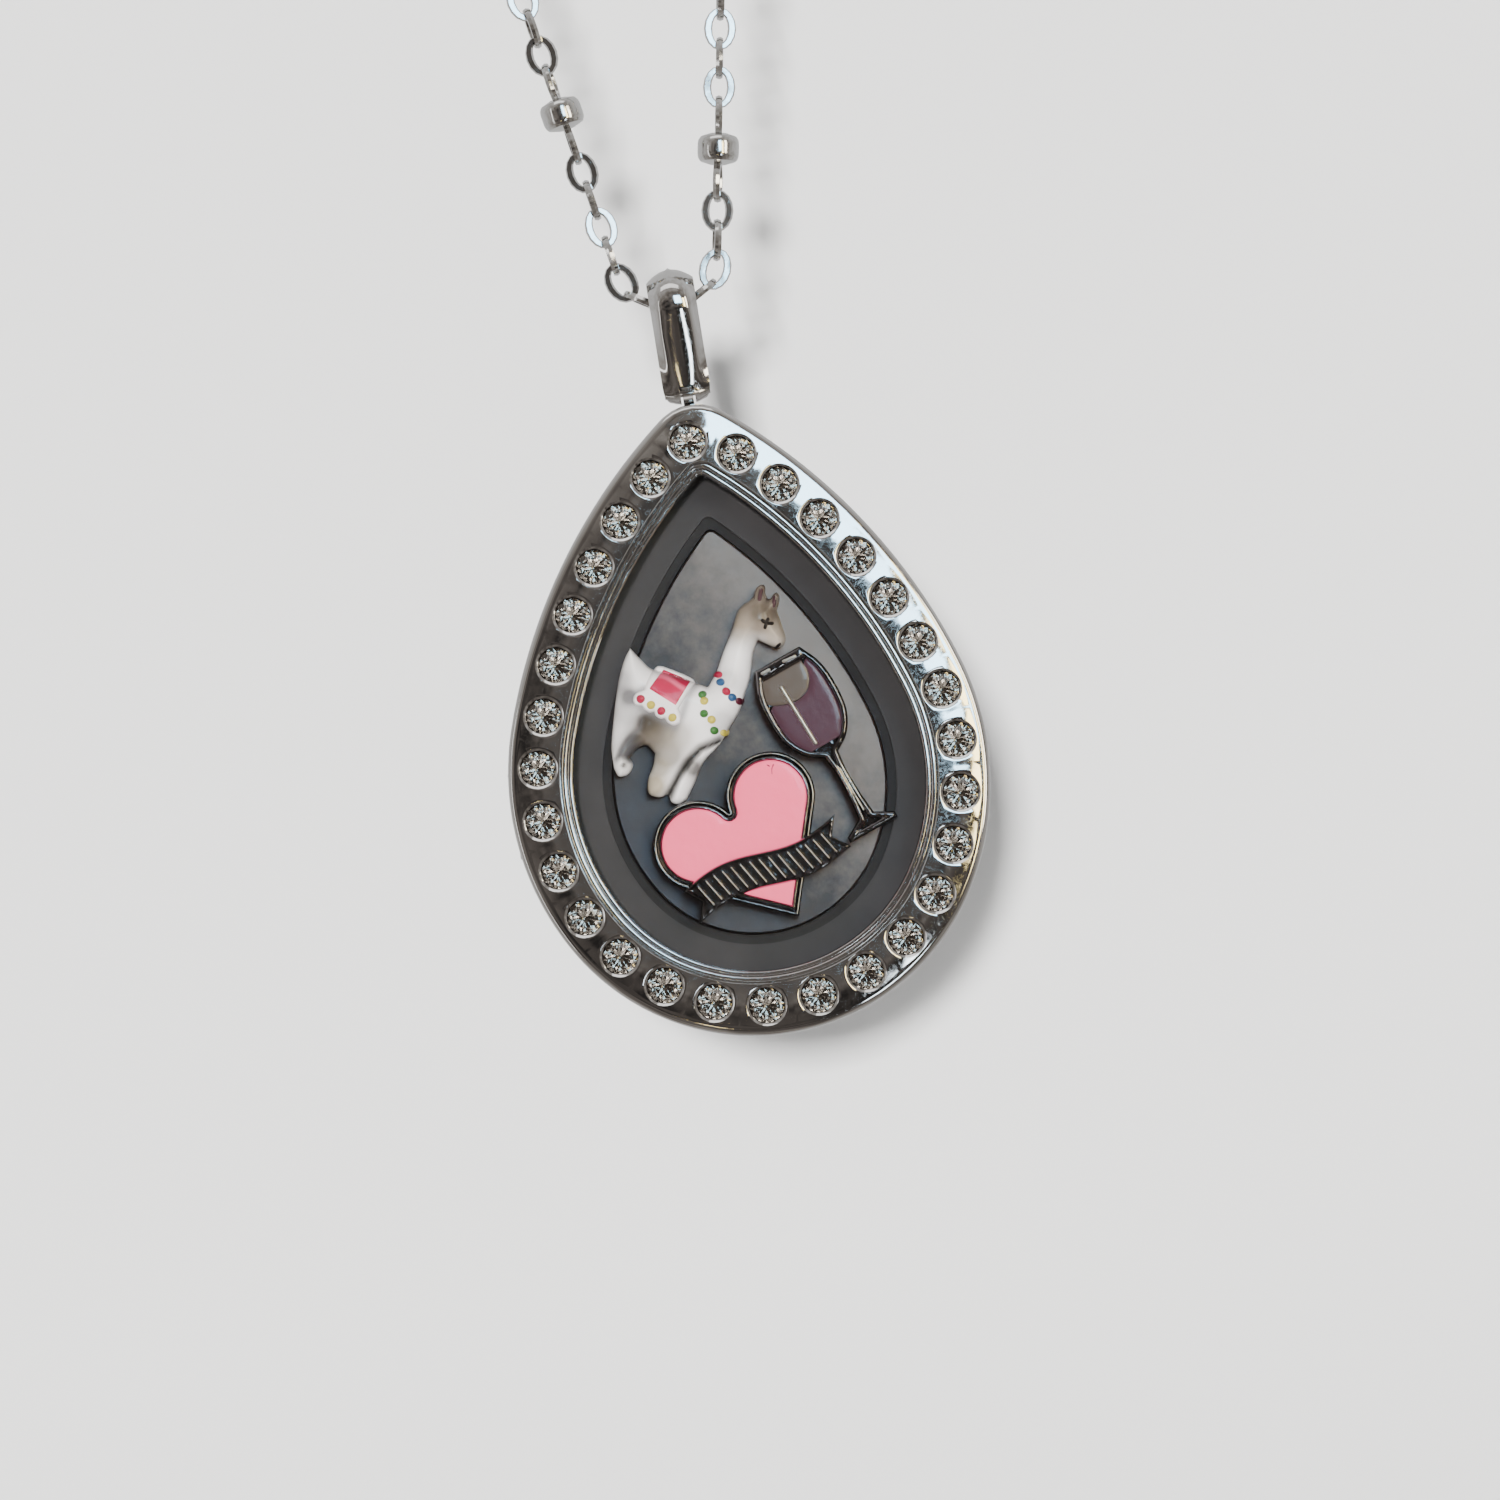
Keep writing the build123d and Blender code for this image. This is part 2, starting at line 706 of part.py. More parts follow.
def wine_glass():
    foot_half = foot_shares[0][0] * glass_charm_w / 2
    rim_half = bowl_shares[-1][0] * glass_charm_w / 2
    foot_z = foot_shares[0][1] * glass_charm_h
    rim_z = bowl_shares[-1][1] * glass_charm_h
    edges = glass_half(-1) + glass_half(1)
    edges += [Line((-foot_half, foot_z), (foot_half, foot_z)), Line((-rim_half, rim_z), (rim_half, rim_z))]
    whole = charm_place(glass_charm_x, glass_charm_z, glass_charm_lean, make_face(edges))
    tray = bowl_sketch(rim_t, 0, glass_charm_h) - glint_sketch(0)
    tray = charm_place(glass_charm_x, glass_charm_z, glass_charm_lean, tray)
    front_y = charm_back_y - charm_t
    body = slab(whole, front_y, charm_back_y, locket_z)
    return body - slab(tray, front_y, front_y + charm_t / 2, locket_z)


def bowl_enamel(low, high):
    fill = bowl_sketch(rim_t + enamel_clear, low, high) - glint_sketch(enamel_clear)
    fill = charm_place(glass_charm_x, glass_charm_z, glass_charm_lean, fill)
    front_y = charm_back_y - charm_t
    return slab(fill, front_y + enamel_drop, front_y + charm_t / 2 - enamel_clear, locket_z)


def heart_sketch(inset):
    """Two round lobes and the straight flanks that touch them, drawn in by the inset."""
    reach = math.hypot(heart_lobe_x, heart_lobe_z)
    towards = math.degrees(math.atan2(heart_lobe_z, heart_lobe_x))
    touch = towards - math.degrees(math.acos(-heart_lobe_r / reach))
    notch = 180 - math.degrees(math.acos(heart_lobe_x / heart_lobe_r))
    notch_z = polar((heart_lobe_x, heart_lobe_z), heart_lobe_r, notch)[1]
    point = (0, -inset / math.sin(math.radians(touch)))
    edges = []
    ends = []
    for side in (-1, 1):
        spots = []
        for angle in (touch, (touch + notch) / 2, notch):
            x, z = polar((heart_lobe_x, heart_lobe_z), heart_lobe_r - inset, angle)
            spots.append((side * x, z))
        edges.append(Line(point, spots[0]))
        edges.append(ThreePointArc(*spots))
        ends.append(spots[2])
    if inset > 0:
        edges.append(ThreePointArc(ends[0], (0, notch_z - inset), ends[1]))
    return make_face(edges)


def banner_sketch(spread):
    """A waved ribbon with notched ends."""
    half_l = banner_l / 2 + spread
    half_h = banner_h / 2 + spread
    notch = banner_h / 3
    edges = []
    for z in (-half_h, half_h):
        crest = (-half_l / 2, z + banner_wave)
        trough = (half_l / 2, z - banner_wave)
        edges.append(Spline((-half_l, z), crest, trough, (half_l, z)))
    for side in (-1, 1):
        end = side * half_l
        edges.append(Polyline((end, half_h), (end - side * notch, 0), (end, -half_h)))
    return Pos(0, banner_z) * Rot(0, 0, banner_lean) * make_face(edges)


def heart():
    """Dark steel heart: rim with a groove, tray for enamel, raised ribbed banner."""
    front_y = charm_back_y - charm_t

    def placed(sketch):
        return charm_place(heart_x, heart_z, heart_lean, sketch)

    banner = banner_sketch(0)
    body = slab(placed(heart_sketch(0)), front_y, charm_back_y, locket_z)
    body -= slab(placed(heart_sketch(heart_rim)), front_y, front_y + charm_t / 2, locket_z)
    body += slab(placed(banner), front_y - banner_raise, charm_back_y, locket_z)
    field = banner_sketch(-banner_rim)
    groove = None
    pitch = banner_l / (banner_ridges + 1)
    for index in range(banner_ridges + 1):
        spot_x = (index - banner_ridges / 2) * pitch
        bar = Pos(spot_x, 0) * Rectangle(pitch - ridge_t, 2 * banner_h)
        bar = Pos(0, banner_z) * Rot(0, 0, banner_lean) * bar
        groove = bar if groove is None else groove + bar
    flutes = slab(placed(groove & field), front_y - banner_raise, front_y - banner_raise / 2, locket_z)
    return body - flutes


def heart_enamel():
    """The pink enamel's pieces, largest first: above the banner and below it."""
    front_y = charm_back_y - charm_t
    fill = heart_sketch(heart_rim + enamel_clear) - banner_sketch(enamel_clear)
    fill = charm_place(heart_x, heart_z, heart_lean, fill)
    whole = slab(fill, front_y + enamel_drop, front_y + charm_t / 2 - enamel_clear, locket_z)
    return sorted(whole.solids(), key=lambda solid: -solid.volume)


os.makedirs("parts", exist_ok=True)

nodes = {
    "chain": chain(),
    "clasp": clasp(),
    "bail": bail(),
    "bail_pin": bail_pin(),
    "case_back": case_back(),
    "hinge_pin": hinge_pin(),
    "back_plate": back_plate(),
    "inner_ring": inner_ring(),
    "front_bezel": front_bezel(),
    "front_glass": front_glass(),
    "llama": llama(),
    "llama_blanket": llama_blanket(),
    "wine_glass": wine_glass(),
    "wine_enamel": bowl_enamel(0, wine_level),
    "bowl_enamel": bowl_enamel(wine_level + enamel_clear, glass_charm_h),
    "heart": heart(),
}
heart_pieces = heart_enamel()
nodes["heart_enamel_top"] = heart_pieces[0]
nodes["heart_enamel_tip"] = heart_pieces[1]
stone = brilliant()
for number, place in enumerate(crystal_places(), start=1):
    nodes["crystal_%02d" % number] = facing_front(place, front_depth) * stone

for name, solid in nodes.items():
    export_step(solid, "parts/%s.step" % name)
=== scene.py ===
import math

import bmesh
import bpy
import numpy as np
from mathutils import Matrix, Vector
from mathutils.geometry import delaunay_2d_cdt


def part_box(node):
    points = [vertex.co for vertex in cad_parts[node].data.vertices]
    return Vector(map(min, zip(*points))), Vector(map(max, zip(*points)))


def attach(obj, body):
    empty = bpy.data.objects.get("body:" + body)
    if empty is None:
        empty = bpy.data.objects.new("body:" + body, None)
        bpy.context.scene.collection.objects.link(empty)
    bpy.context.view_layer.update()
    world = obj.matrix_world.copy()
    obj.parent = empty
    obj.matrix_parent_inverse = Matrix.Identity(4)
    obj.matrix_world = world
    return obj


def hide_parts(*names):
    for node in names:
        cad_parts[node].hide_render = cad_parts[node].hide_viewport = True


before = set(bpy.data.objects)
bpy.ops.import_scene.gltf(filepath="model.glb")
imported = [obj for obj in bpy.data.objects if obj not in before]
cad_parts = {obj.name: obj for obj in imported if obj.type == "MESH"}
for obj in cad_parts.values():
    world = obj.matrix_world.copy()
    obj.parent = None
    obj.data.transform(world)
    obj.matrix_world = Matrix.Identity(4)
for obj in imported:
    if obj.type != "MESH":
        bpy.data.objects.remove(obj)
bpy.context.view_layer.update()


# The view: the necklace hangs straight down, and the picture leans it by a few degrees.
# The camera faces the locket's front from slightly below, far enough off for a flat view.
def add_object(name, data):
    """An object of the scene, at the origin and unturned."""
    made = bpy.data.objects.new(name, data)
    bpy.context.scene.collection.objects.link(made)
    return made


mm = 0.001
bottom_r = 11.15 * mm
locket_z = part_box("front_bezel")[0][2] + bottom_r
picture_lean = math.radians(9.14)
camera_rise = math.radians(-2.0)
camera_distance = 350 * mm
picture_width = 71.43 * mm
sensor_width = 36.0
aim = np.array([0.245 * mm, -3.0 * mm, locket_z + 2.449 * mm])

ahead = np.array([0.0, math.cos(camera_rise), -math.sin(camera_rise)])
level_up = np.array([0.0, math.sin(camera_rise), math.cos(camera_rise)])
level_right = np.array([1.0, 0.0, 0.0])
right = math.cos(picture_lean) * level_right - math.sin(picture_lean) * level_up
up = math.sin(picture_lean) * level_right + math.cos(picture_lean) * level_up
eye = aim - camera_distance * ahead
camera = add_object("camera", bpy.data.cameras.new("camera"))
camera.data.sensor_width = sensor_width
camera.data.lens = sensor_width * camera_distance / picture_width
camera.data.clip_start = 10 * mm
camera.data.clip_end = 10.0
axes = np.array([right, up, -ahead]).T
camera.matrix_world = Matrix([[*row, place] for row, place in zip(axes, eye)] + [[0, 0, 0, 1]])
bpy.context.scene.camera = camera


# The studio: a pale paper sweep, floor and wall in one sheet, under soft boxes.
# The wall stands clear of the locket's swing and shows on its face only.
def linear(hex_colour):
    """sRGB hex to linear red, green, blue and alpha: the standard curve, channel by channel."""
    channels = [int(hex_colour[i : i + 2], 16) / 255 for i in (1, 3, 5)]
    return (*[c / 12.92 if c <= 0.04045 else ((c + 0.055) / 1.055) ** 2.4 for c in channels], 1.0)


def add_node(tree, kind, inputs=(), stops=(), **settings):
    """Adds a shader node, sets its properties and a ramp's stops of positions and hex colours, then
    fills its inputs with values, with sockets or with the first outputs of nodes."""
    node = tree.nodes.new("ShaderNode" + kind)
    for name, value in settings.items():
        setattr(node, name, value)
    for _ in stops[2:]:
        node.color_ramp.elements.new(1.0)
    for number, (position, colour) in enumerate(stops):
        node.color_ramp.elements[number].position = position
        node.color_ramp.elements[number].color = linear(colour)
    for name, value in dict(inputs).items():
        if isinstance(value, bpy.types.Node):
            value = value.outputs[0]
        if isinstance(value, bpy.types.NodeSocket):
            tree.links.new(value, node.inputs[name])
        else:
            node.inputs[name].default_value = value
    return node


def new_finish(name, library=bpy.data.materials):
    """An empty material, or a world, and its node tree."""
    finish = library.new(name)
    finish.use_nodes = True
    finish.node_tree.nodes.clear()
    return finish, finish.node_tree


def grid_faces(rows, columns, close_rows, close_columns, copies=1):
    """Quads over a grid of points stored row by row, closed round either way if asked."""
    row = np.arange(rows if close_rows else rows - 1)[:, None]
    column = np.arange(columns if close_columns else columns - 1)[None, :]
    next_row = (row + 1) % rows
    next_column = (column + 1) % columns
    corners = [row * columns + column, row * columns + next_column]
    corners += [next_row * columns + next_column, next_row * columns + column]
    shape = (len(row), column.shape[1])
    each = np.stack([np.broadcast_to(corner, shape).ravel() for corner in corners], axis=1)
    return (each + np.arange(copies)[:, None, None] * rows * columns).reshape(-1, 4)


sweep_floor_z = -450 * mm
sweep_wall_y = 45 * mm
sweep_bend_r = 60 * mm
sweep_half = 3.0
paper_colour = "#E4E4E4"
bend = np.linspace(0, math.pi / 2, 24)
bend_y = sweep_wall_y - sweep_bend_r + sweep_bend_r * np.sin(bend)
bend_z = sweep_floor_z + sweep_bend_r * (1 - np.cos(bend))
sweep_y = np.concatenate([[-sweep_half], bend_y, [sweep_wall_y]])
sweep_z = np.concatenate([[sweep_floor_z], bend_z, [sweep_half]])
sweep_points = [[x, y, z] for x in (-sweep_half, sweep_half) for y, z in zip(sweep_y, sweep_z)]
paper_mesh = bpy.data.meshes.new("paper_sweep")
sweep_faces = grid_faces(2, len(sweep_y), False, False)[:, ::-1]
paper_mesh.from_pydata(sweep_points, [], sweep_faces.tolist())
paper_mesh.shade_smooth()
paper_sweep = add_object("paper_sweep", paper_mesh)

paper, tree = new_finish("matt studio paper")
diffuse = add_node(tree, "BsdfDiffuse", {"Color": linear(paper_colour)})
clear = add_node(tree, "BsdfTransparent")
behind = add_node(tree, "NewGeometry").outputs["Backfacing"]
one_sided = add_node(tree, "MixShader", {0: behind, 1: diffuse, 2: clear})
add_node(tree, "OutputMaterial", {"Surface": one_sided})
paper_mesh.materials.append(paper)
paper_sweep.visible_glossy = False

# Soft boxes: name, place seen from the locket, width, height, watts, colour. Those of the first
# list are seen in polished metal only, and the lamp of the second lights matt surfaces only.
reflected_boxes = [
    ("window_right", (0.17, -0.81, 0.19), 0.22, 0.34, 2.2, "#B9E4FF"),
    ("curtain_right", (0.36, -0.76, 0.04), 0.13, 0.40, 1.6, "#FFE9A6"),
    ("window_far_right", (0.52, -0.56, 0.06), 0.16, 0.42, 1.6, "#FFF6E0"),
    ("strip_left", (-0.70, -0.42, -0.05), 0.06, 0.70, 0.35, "#FFFFFF"),
    ("strip_low_right", (0.21, -0.79, -0.36), 0.07, 0.24, 0.5, "#E6F5FF"),
    ("card_low_left", (-0.15, -0.83, -0.40), 0.05, 0.03, 0.05, "#FFE9A8"),
    ("box_above", (-0.05, -0.45, 0.75), 0.80, 0.24, 0.9, "#FFFFFF"),
]
lighting_boxes = [("lamp_front", (-0.041, -0.95, 0.022), 0.042, 0.042, 23.2, "#FFFEFC")]
for soft_box in reflected_boxes + lighting_boxes:
    name, place, width, height, watts, colour = soft_box
    lamp = bpy.data.lights.new(name, "AREA")
    lamp.shape = "RECTANGLE"
    lamp.size = width
    lamp.size_y = height
    lamp.energy = watts
    lamp.color = linear(colour)[:3]
    box = add_object(name, lamp)
    box.location = (place[0], place[1], locket_z + place[2])
    box.rotation_mode = "QUATERNION"
    box.rotation_quaternion = (-Vector(place)).to_track_quat("-Z", "Y")
    box.visible_glossy = box.visible_transmission = soft_box in reflected_boxes
    box.visible_diffuse = soft_box in lighting_boxes

# Room light: dim behind the camera with a darker corner to its left, pale at the sides, so
# that polished metal has tone. Matt surfaces and the picture's edges get an even grey.
room_tones = [(0.0, "#2F2D2C"), (0.14, "#625C58"), (0.3, "#8A847E"), (0.55, "#BDBAB6")]
room_tones += [(0.9, "#E6E6E6")]
pale = linear("#DEDEDE")
ambient = linear("#444444")
corner_way = (-0.29, -0.957, 0.0)
corner_shade = {"From Min": 0.965, "From Max": 0.99, "To Max": -0.06}
world, tree = new_finish("studio room", bpy.data.worlds)
bpy.context.scene.world = world
way = add_node(tree, "TexCoord").outputs["Generated"]
parts = add_node(tree, "SeparateXYZ", {0: way}).outputs
depth = add_node(tree, "Math", {0: parts["Y"], 1: 0.5, 2: 0.64}, operation="MULTIPLY_ADD")
floor_dim = add_node(tree, "Math", {0: parts["Z"], 1: 0.2, 2: depth}, operation="MULTIPLY_ADD")
to_corner = add_node(tree, "VectorMath", {0: way, 1: corner_way}, operation="DOT_PRODUCT")
corner = add_node(tree, "MapRange", {"Value": to_corner.outputs["Value"], **corner_shade})
shaded = add_node(tree, "Math", {0: floor_dim, 1: corner}, operation="ADD")
patches = add_node(tree, "TexNoise", {"Vector": way, "Scale": 5.0, "Detail": 4.0})
swing = add_node(tree, "Math", {0: patches, 1: 0.90, 2: -0.45}, operation="MULTIPLY_ADD")
uneven = add_node(tree, "Math", {0: shaded, 1: swing}, operation="ADD")
tones = add_node(tree, "ValToRGB", {"Fac": uneven}, room_tones)
path = add_node(tree, "LightPath").outputs
to_eye, to_matt = path["Is Camera Ray"], path["Is Diffuse Ray"]
seen = add_node(tree, "Mix", {0: to_eye, 6: tones, 7: pale}, data_type="RGBA").outputs[2]
lit = add_node(tree, "Mix", {0: to_matt, 6: seen, 7: ambient}, data_type="RGBA").outputs[2]
room = add_node(tree, "Background", {"Color": lit, "Strength": 1.0})
add_node(tree, "OutputWorld", {"Surface": room})


# Chain: flat-cut oval cable links of polished steel wire, each through the next, with
# soldered rondelle beads at even steps. It hangs in a V from the neck, through the bail.
def steel_finish(name, colour, rough, wear, wave_size, wave_depth):
    """Polished steel: even metal, hairline wear in the roughness, faint waves left by the wheel."""
    finish, tree = new_finish(name)
    place = add_node(tree, "TexCoord").outputs["Object"]
    waves = add_node(tree, "TexNoise", {"Vector": place, "Scale": 1 / wave_size, "Detail": 1.0})
    hairline = {"Scale": 1 / (0.25 * mm), "Detail": 3.0, "Distortion": 1.5}
    hairlines = add_node(tree, "TexNoise", {"Vector": place, **hairline})
    span = {"From Min": 0.45, "From Max": 0.75, "To Min": rough, "To Max": rough + wear}
    worn = add_node(tree, "MapRange", {"Value": hairlines, **span})
    bump = add_node(tree, "Bump", {"Height": waves, "Distance": wave_depth, "Strength": 1.0})
    surface = {"Base Color": linear(colour), "Metallic": 1.0, "Roughness": worn, "Normal": bump}
    add_node(tree, "OutputMaterial", {"Surface": add_node(tree, "BsdfPrincipled", surface)})
    return finish


def make_piece(name, parts, finish, body, nodes=(), crease=35):
    """A piece from sets of points and faces: doubles are merged, faces turned outwards and edges
    past the crease, in degrees, kept sharp."""
    starts = np.cumsum([0] + [len(points) for points, _ in parts[:-1]])
    points = np.concatenate([points for points, _ in parts])
    faces = [face for (_, faces), start in zip(parts, starts) for face in (faces + start).tolist()]
    mesh = bpy.data.meshes.new(name)
    mesh.from_pydata(points.tolist(), [], faces)
    work = bmesh.new()
    work.from_mesh(mesh)
    bmesh.ops.remove_doubles(work, verts=work.verts, dist=0.0002 * mm)
    bmesh.ops.recalc_face_normals(work, faces=work.faces)
    work.to_mesh(mesh)
    work.free()
    mesh.shade_smooth()
    mesh.set_sharp_from_angle(angle=math.radians(crease))
    mesh.materials.append(finish)
    piece = add_object(name, mesh)
    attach(piece, body)
    if nodes:
        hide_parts(*nodes)
    return piece


def unit(vectors):
    """The same directions, one long."""
    return vectors / np.linalg.norm(vectors, axis=-1)[..., None]


def quarter_turn(vectors):
    """Flat directions turned to their left."""
    return np.stack([-vectors[..., 1], vectors[..., 0]], axis=-1)


def round_points(centre, radius, turn):
    """Points at angles round a centre."""
    return np.stack([centre[0] + radius * np.cos(turn), centre[1] + radius * np.sin(turn)], axis=-1)


def whole_turn(sides):
    """Even angles all the way round."""
    return np.linspace(0, 2 * math.pi, sides, endpoint=False)


def lengths_along(line):
    """How far along a line each of its points lies: the running sum of its steps."""
    return np.concatenate([[0], np.cumsum(np.hypot(*np.diff(line, axis=0).T))])


def at_lengths(places, lengths, line):
    """Points at lengths along a line."""
    return np.stack([np.interp(places, lengths, line[:, i]) for i in (0, 1)], axis=1)


def chain_corners():
    """Corners of the loop: even turns round the neck, then straight strands to the bail."""
    clasp_low, clasp_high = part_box("clasp")
    neck = (0.0, (clasp_low[2] + clasp_high[2]) / 2 - neck_r)
    first = math.pi / 2 + (clasp_high[0] + clasp_gap) / neck_r
    half_turn = (math.pi + strand_lean - first) / neck_turns / 2
    angles = first + half_turn * (2 * np.arange(neck_turns) + 1)
    around = round_points(neck, (neck_r - link_proud) / math.cos(half_turn), angles)
    foot = [[-chain_corner_x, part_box("chain")[0][2] + tube_r]]
    left = np.concatenate([[round_points(neck, neck_r, first)], around, foot])
    return np.concatenate([left, left[::-1] * (-1, 1)])


def rounded(corners, share, steps):
    """The line through the corners, each rounded by an arc over a share of its shorter run."""
    line = [corners[:1]]
    for before, here, after in zip(corners, corners[1:], corners[2:]):
        run_in, run_out = here - before, after - here
        cut = share * min(np.hypot(*run_in), np.hypot(*run_out))
        to_in, to_out = -unit(run_in), unit(run_out)
        half = math.acos(float(np.clip(to_in @ to_out, -1, 1))) / 2
        middle = here + unit(to_in + to_out) * cut / math.cos(half)
        start = here + to_in * cut - middle
        side = np.sign(quarter_turn(run_in) @ run_out)
        turn = side * np.linspace(0, math.pi - 2 * half, steps)[:, None]
        line.append(middle + start * np.cos(turn) + quarter_turn(start) * np.sin(turn))
    line.append(corners[-1:])
    return np.concatenate(line)


def set_along(shape, centres, tangents, twists):
    """Copies of a grid of points, its first axis along the chain and its last turned by a twist."""
    along = np.insert(tangents, 1, 0, axis=1)
    in_plane = np.insert(quarter_turn(tangents), 1, 0, axis=1)
    deep = np.array([0.0, 1.0, 0.0])
    cos, sin = np.cos(twists)[:, None], np.sin(twists)[:, None]
    axes = np.stack([along, in_plane * cos + deep * sin, deep * cos - in_plane * sin], axis=1)
    points = np.einsum("rsk,nkj->nrsj", shape, axes)
    return (points + np.insert(centres, 1, 0, axis=1)[:, None, None]).reshape(-1, 3)


def link_shape():
    """An ellipse along the chain carries a flat-cut six-sided wire, wider at its flanks."""
    turn = whole_turn(link_sides)
    width = wire_end_w + (wire_side_w - wire_end_w) * np.sin(turn) ** 2
    half_l, half_w = (link_l - wire_end_w) / 2, (link_w - wire_side_w) / 2
    oval = round_points((0, 0), 1, turn) * (half_l, half_w)
    out = unit(round_points((0, 0), 1, turn) * (half_w, half_l))
    flat = oval[:, None] + out[:, None] * (wire_section[:, 0] * width[:, None])[..., None]
    height = np.broadcast_to(wire_section[:, 1] * wire_t, flat.shape[:2])
    return np.concatenate([flat, height[..., None]], axis=-1)


def on_chain(places):
    """Points of the chain's line at lengths along it, straight on past its ends."""
    first = (chain_line[1] - chain_line[0]) / line_steps[1]
    last = (chain_line[-1] - chain_line[-2]) / (line_steps[-1] - line_steps[-2])
    before, beyond = np.minimum(places, 0), np.maximum(places - chain_l, 0)
    inside = at_lengths(np.clip(places, 0, chain_l), line_steps, chain_line)
    return inside + before[:, None] * first + beyond[:, None] * last


def chain_run(places, reach):
    """The chain's direction at lengths along it, taken over a reach to either side."""
    return unit(on_chain(places + reach) - on_chain(places - reach))


neck_r = 52.7 * mm
strand_lean = math.radians(10)
neck_turns = 5
link_proud = 0.2 * mm
clasp_gap = 0.12 * mm
chain_corner_x = 2.1 * mm
tube_r = 0.6 * mm
run_share = 0.45
bead_step = 20.1 * mm
bead_first = 11.5 * mm
bead_half_l = 0.75 * mm
bead_r = 1.0 * mm
bead_end_r = 0.42 * mm
bead_grip = 0.21 * mm
bead_sides = 16
end_room = 3 * mm
link_l = 2.06 * mm
link_w = 1.56 * mm
link_pitch = 1.421 * mm
link_sides = 16
link_sway = math.radians(9)
wire_end_w = 0.31 * mm
wire_side_w = 0.40 * mm
wire_t = 0.32 * mm
wire_section = np.array([(0.5, 0), (0.3, 0.5), (-0.3, 0.5), (-0.5, 0), (-0.3, -0.5), (0.3, -0.5)])

chain_line = rounded(chain_corners(), run_share, 40)
line_steps = lengths_along(chain_line)
chain_l = line_steps[-1]
beads = np.arange((chain_l / 2 - bead_first) % bead_step, chain_l, bead_step)
beads = beads[(beads > end_room) & (beads < chain_l - end_room)]
starts = np.concatenate([[-clasp_gap - bead_grip], beads + bead_half_l - bead_grip])
ends = np.concatenate([beads - bead_half_l + bead_grip, [chain_l + clasp_gap + bead_grip]])
links, face_on = [], []
for start, end in zip(starts, ends):
    count = math.ceil((end - start - link_l) / link_pitch - 0.01) + 1
    links.append(np.linspace(start + link_l / 2, end - link_l / 2, count))
    face_on.append(np.arange(count) % 2 == 1)
links, face_on = np.concatenate(links), np.concatenate(face_on)
chance = np.random.default_rng(7)
twists = np.where(face_on, 0, math.pi / 2) + chance.uniform(-link_sway, link_sway, len(links))
link_points = set_along(link_shape(), on_chain(links), chain_run(links, link_l / 3), twists)
link_faces = grid_faces(link_sides, len(wire_section), True, True, len(links))

along = np.linspace(-1, 1, 11)
bead_radii = np.concatenate([[0], bead_end_r + (bead_r - bead_end_r) * np.sqrt(1 - along**4), [0]])
bead_places = bead_half_l * np.concatenate([[-1], along, [1]])
bead_shape = round_points((0, 0), bead_radii[:, None], whole_turn(bead_sides))
bead_places = np.broadcast_to(bead_places[:, None, None], (*bead_shape.shape[:2], 1))
bead_shape = np.concatenate([bead_places, bead_shape], axis=-1)
bead_runs = chain_run(beads, bead_half_l)
bead_points = set_along(bead_shape, on_chain(beads), bead_runs, np.zeros(len(beads)))
bead_faces = grid_faces(*bead_shape.shape[:2], False, True, len(beads))

wire_finish = "polished stainless steel wire"
chain_steel = steel_finish(wire_finish, "#D3D2D0", 0.10, 0.14, 0.9 * mm, 0.02 * mm)
parts = [(link_points, link_faces), (bead_points, bead_faces)]
make_piece("chain_links", parts, chain_steel, "chain", ["chain"])


# Clasp: a plain closed barrel at the nape, pressed from the same polished steel. The chain's
# last links stand in its two ends.
def refinish(node, finish):
    """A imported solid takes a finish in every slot."""
    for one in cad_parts[node].material_slots:
        one.material = finish


refinish("clasp", chain_steel)


# Bail: a strip of polished steel bent over the chain, its limbs joined at the foot in a boss
# that is slotted for the locket's eye. A faintly domed oval runs down the strip between flanks.
def two_circle_loop(top_r, low_r, top_z, low_z, counts):
    """Round an upper and a lower circle and along the lines that touch both, counter-clockwise."""
    lean = math.asin((top_r - low_r) / (top_z - low_z))
    top_turn = np.linspace(-lean, math.pi + lean, counts[0])
    low_turn = np.linspace(math.pi + lean, 2 * math.pi - lean, counts[2])
    top, low = round_points((0, top_z), top_r, top_turn), round_points((0, low_z), low_r, low_turn)
    share = np.linspace(0, 1, counts[1] + 2)[1:-1, None]
    down, back_up = top[-1] * (1 - share) + low[0] * share, low[-1] * (1 - share) + top[0] * share
    return np.concatenate([top, down, low, back_up])


def cut_away(piece, tools):
    """Cuts closed shapes out of a piece and keeps the result as its mesh."""
    for points, faces in tools:
        mesh = bpy.data.meshes.new("cutter")
        mesh.from_pydata(points.tolist(), [], faces)
        cutter = add_object("cutter", mesh)
        cut = piece.modifiers.new("cut", "BOOLEAN")
        cut.operation = "DIFFERENCE"
        cut.solver = "EXACT"
        cut.object = cutter
        cut_piece = piece.evaluated_get(bpy.context.evaluated_depsgraph_get())
        result = bpy.data.meshes.new_from_object(cut_piece)
        piece.modifiers.clear()
        piece.data = result
        bpy.data.objects.remove(cutter)
    piece.data.shade_smooth()
    piece.data.set_sharp_from_angle(angle=math.radians(35))


def prism(line, low, high, axis):
    """Points and faces of a closed line drawn out along an axis, from low to high."""
    count = len(line)
    points = np.concatenate([np.insert(line, axis, place, axis=1) for place in (low, high)])
    ends = [list(range(count - 1, -1, -1)), list(range(count, 2 * count))]
    return points, grid_faces(2, count, False, True).tolist() + ends


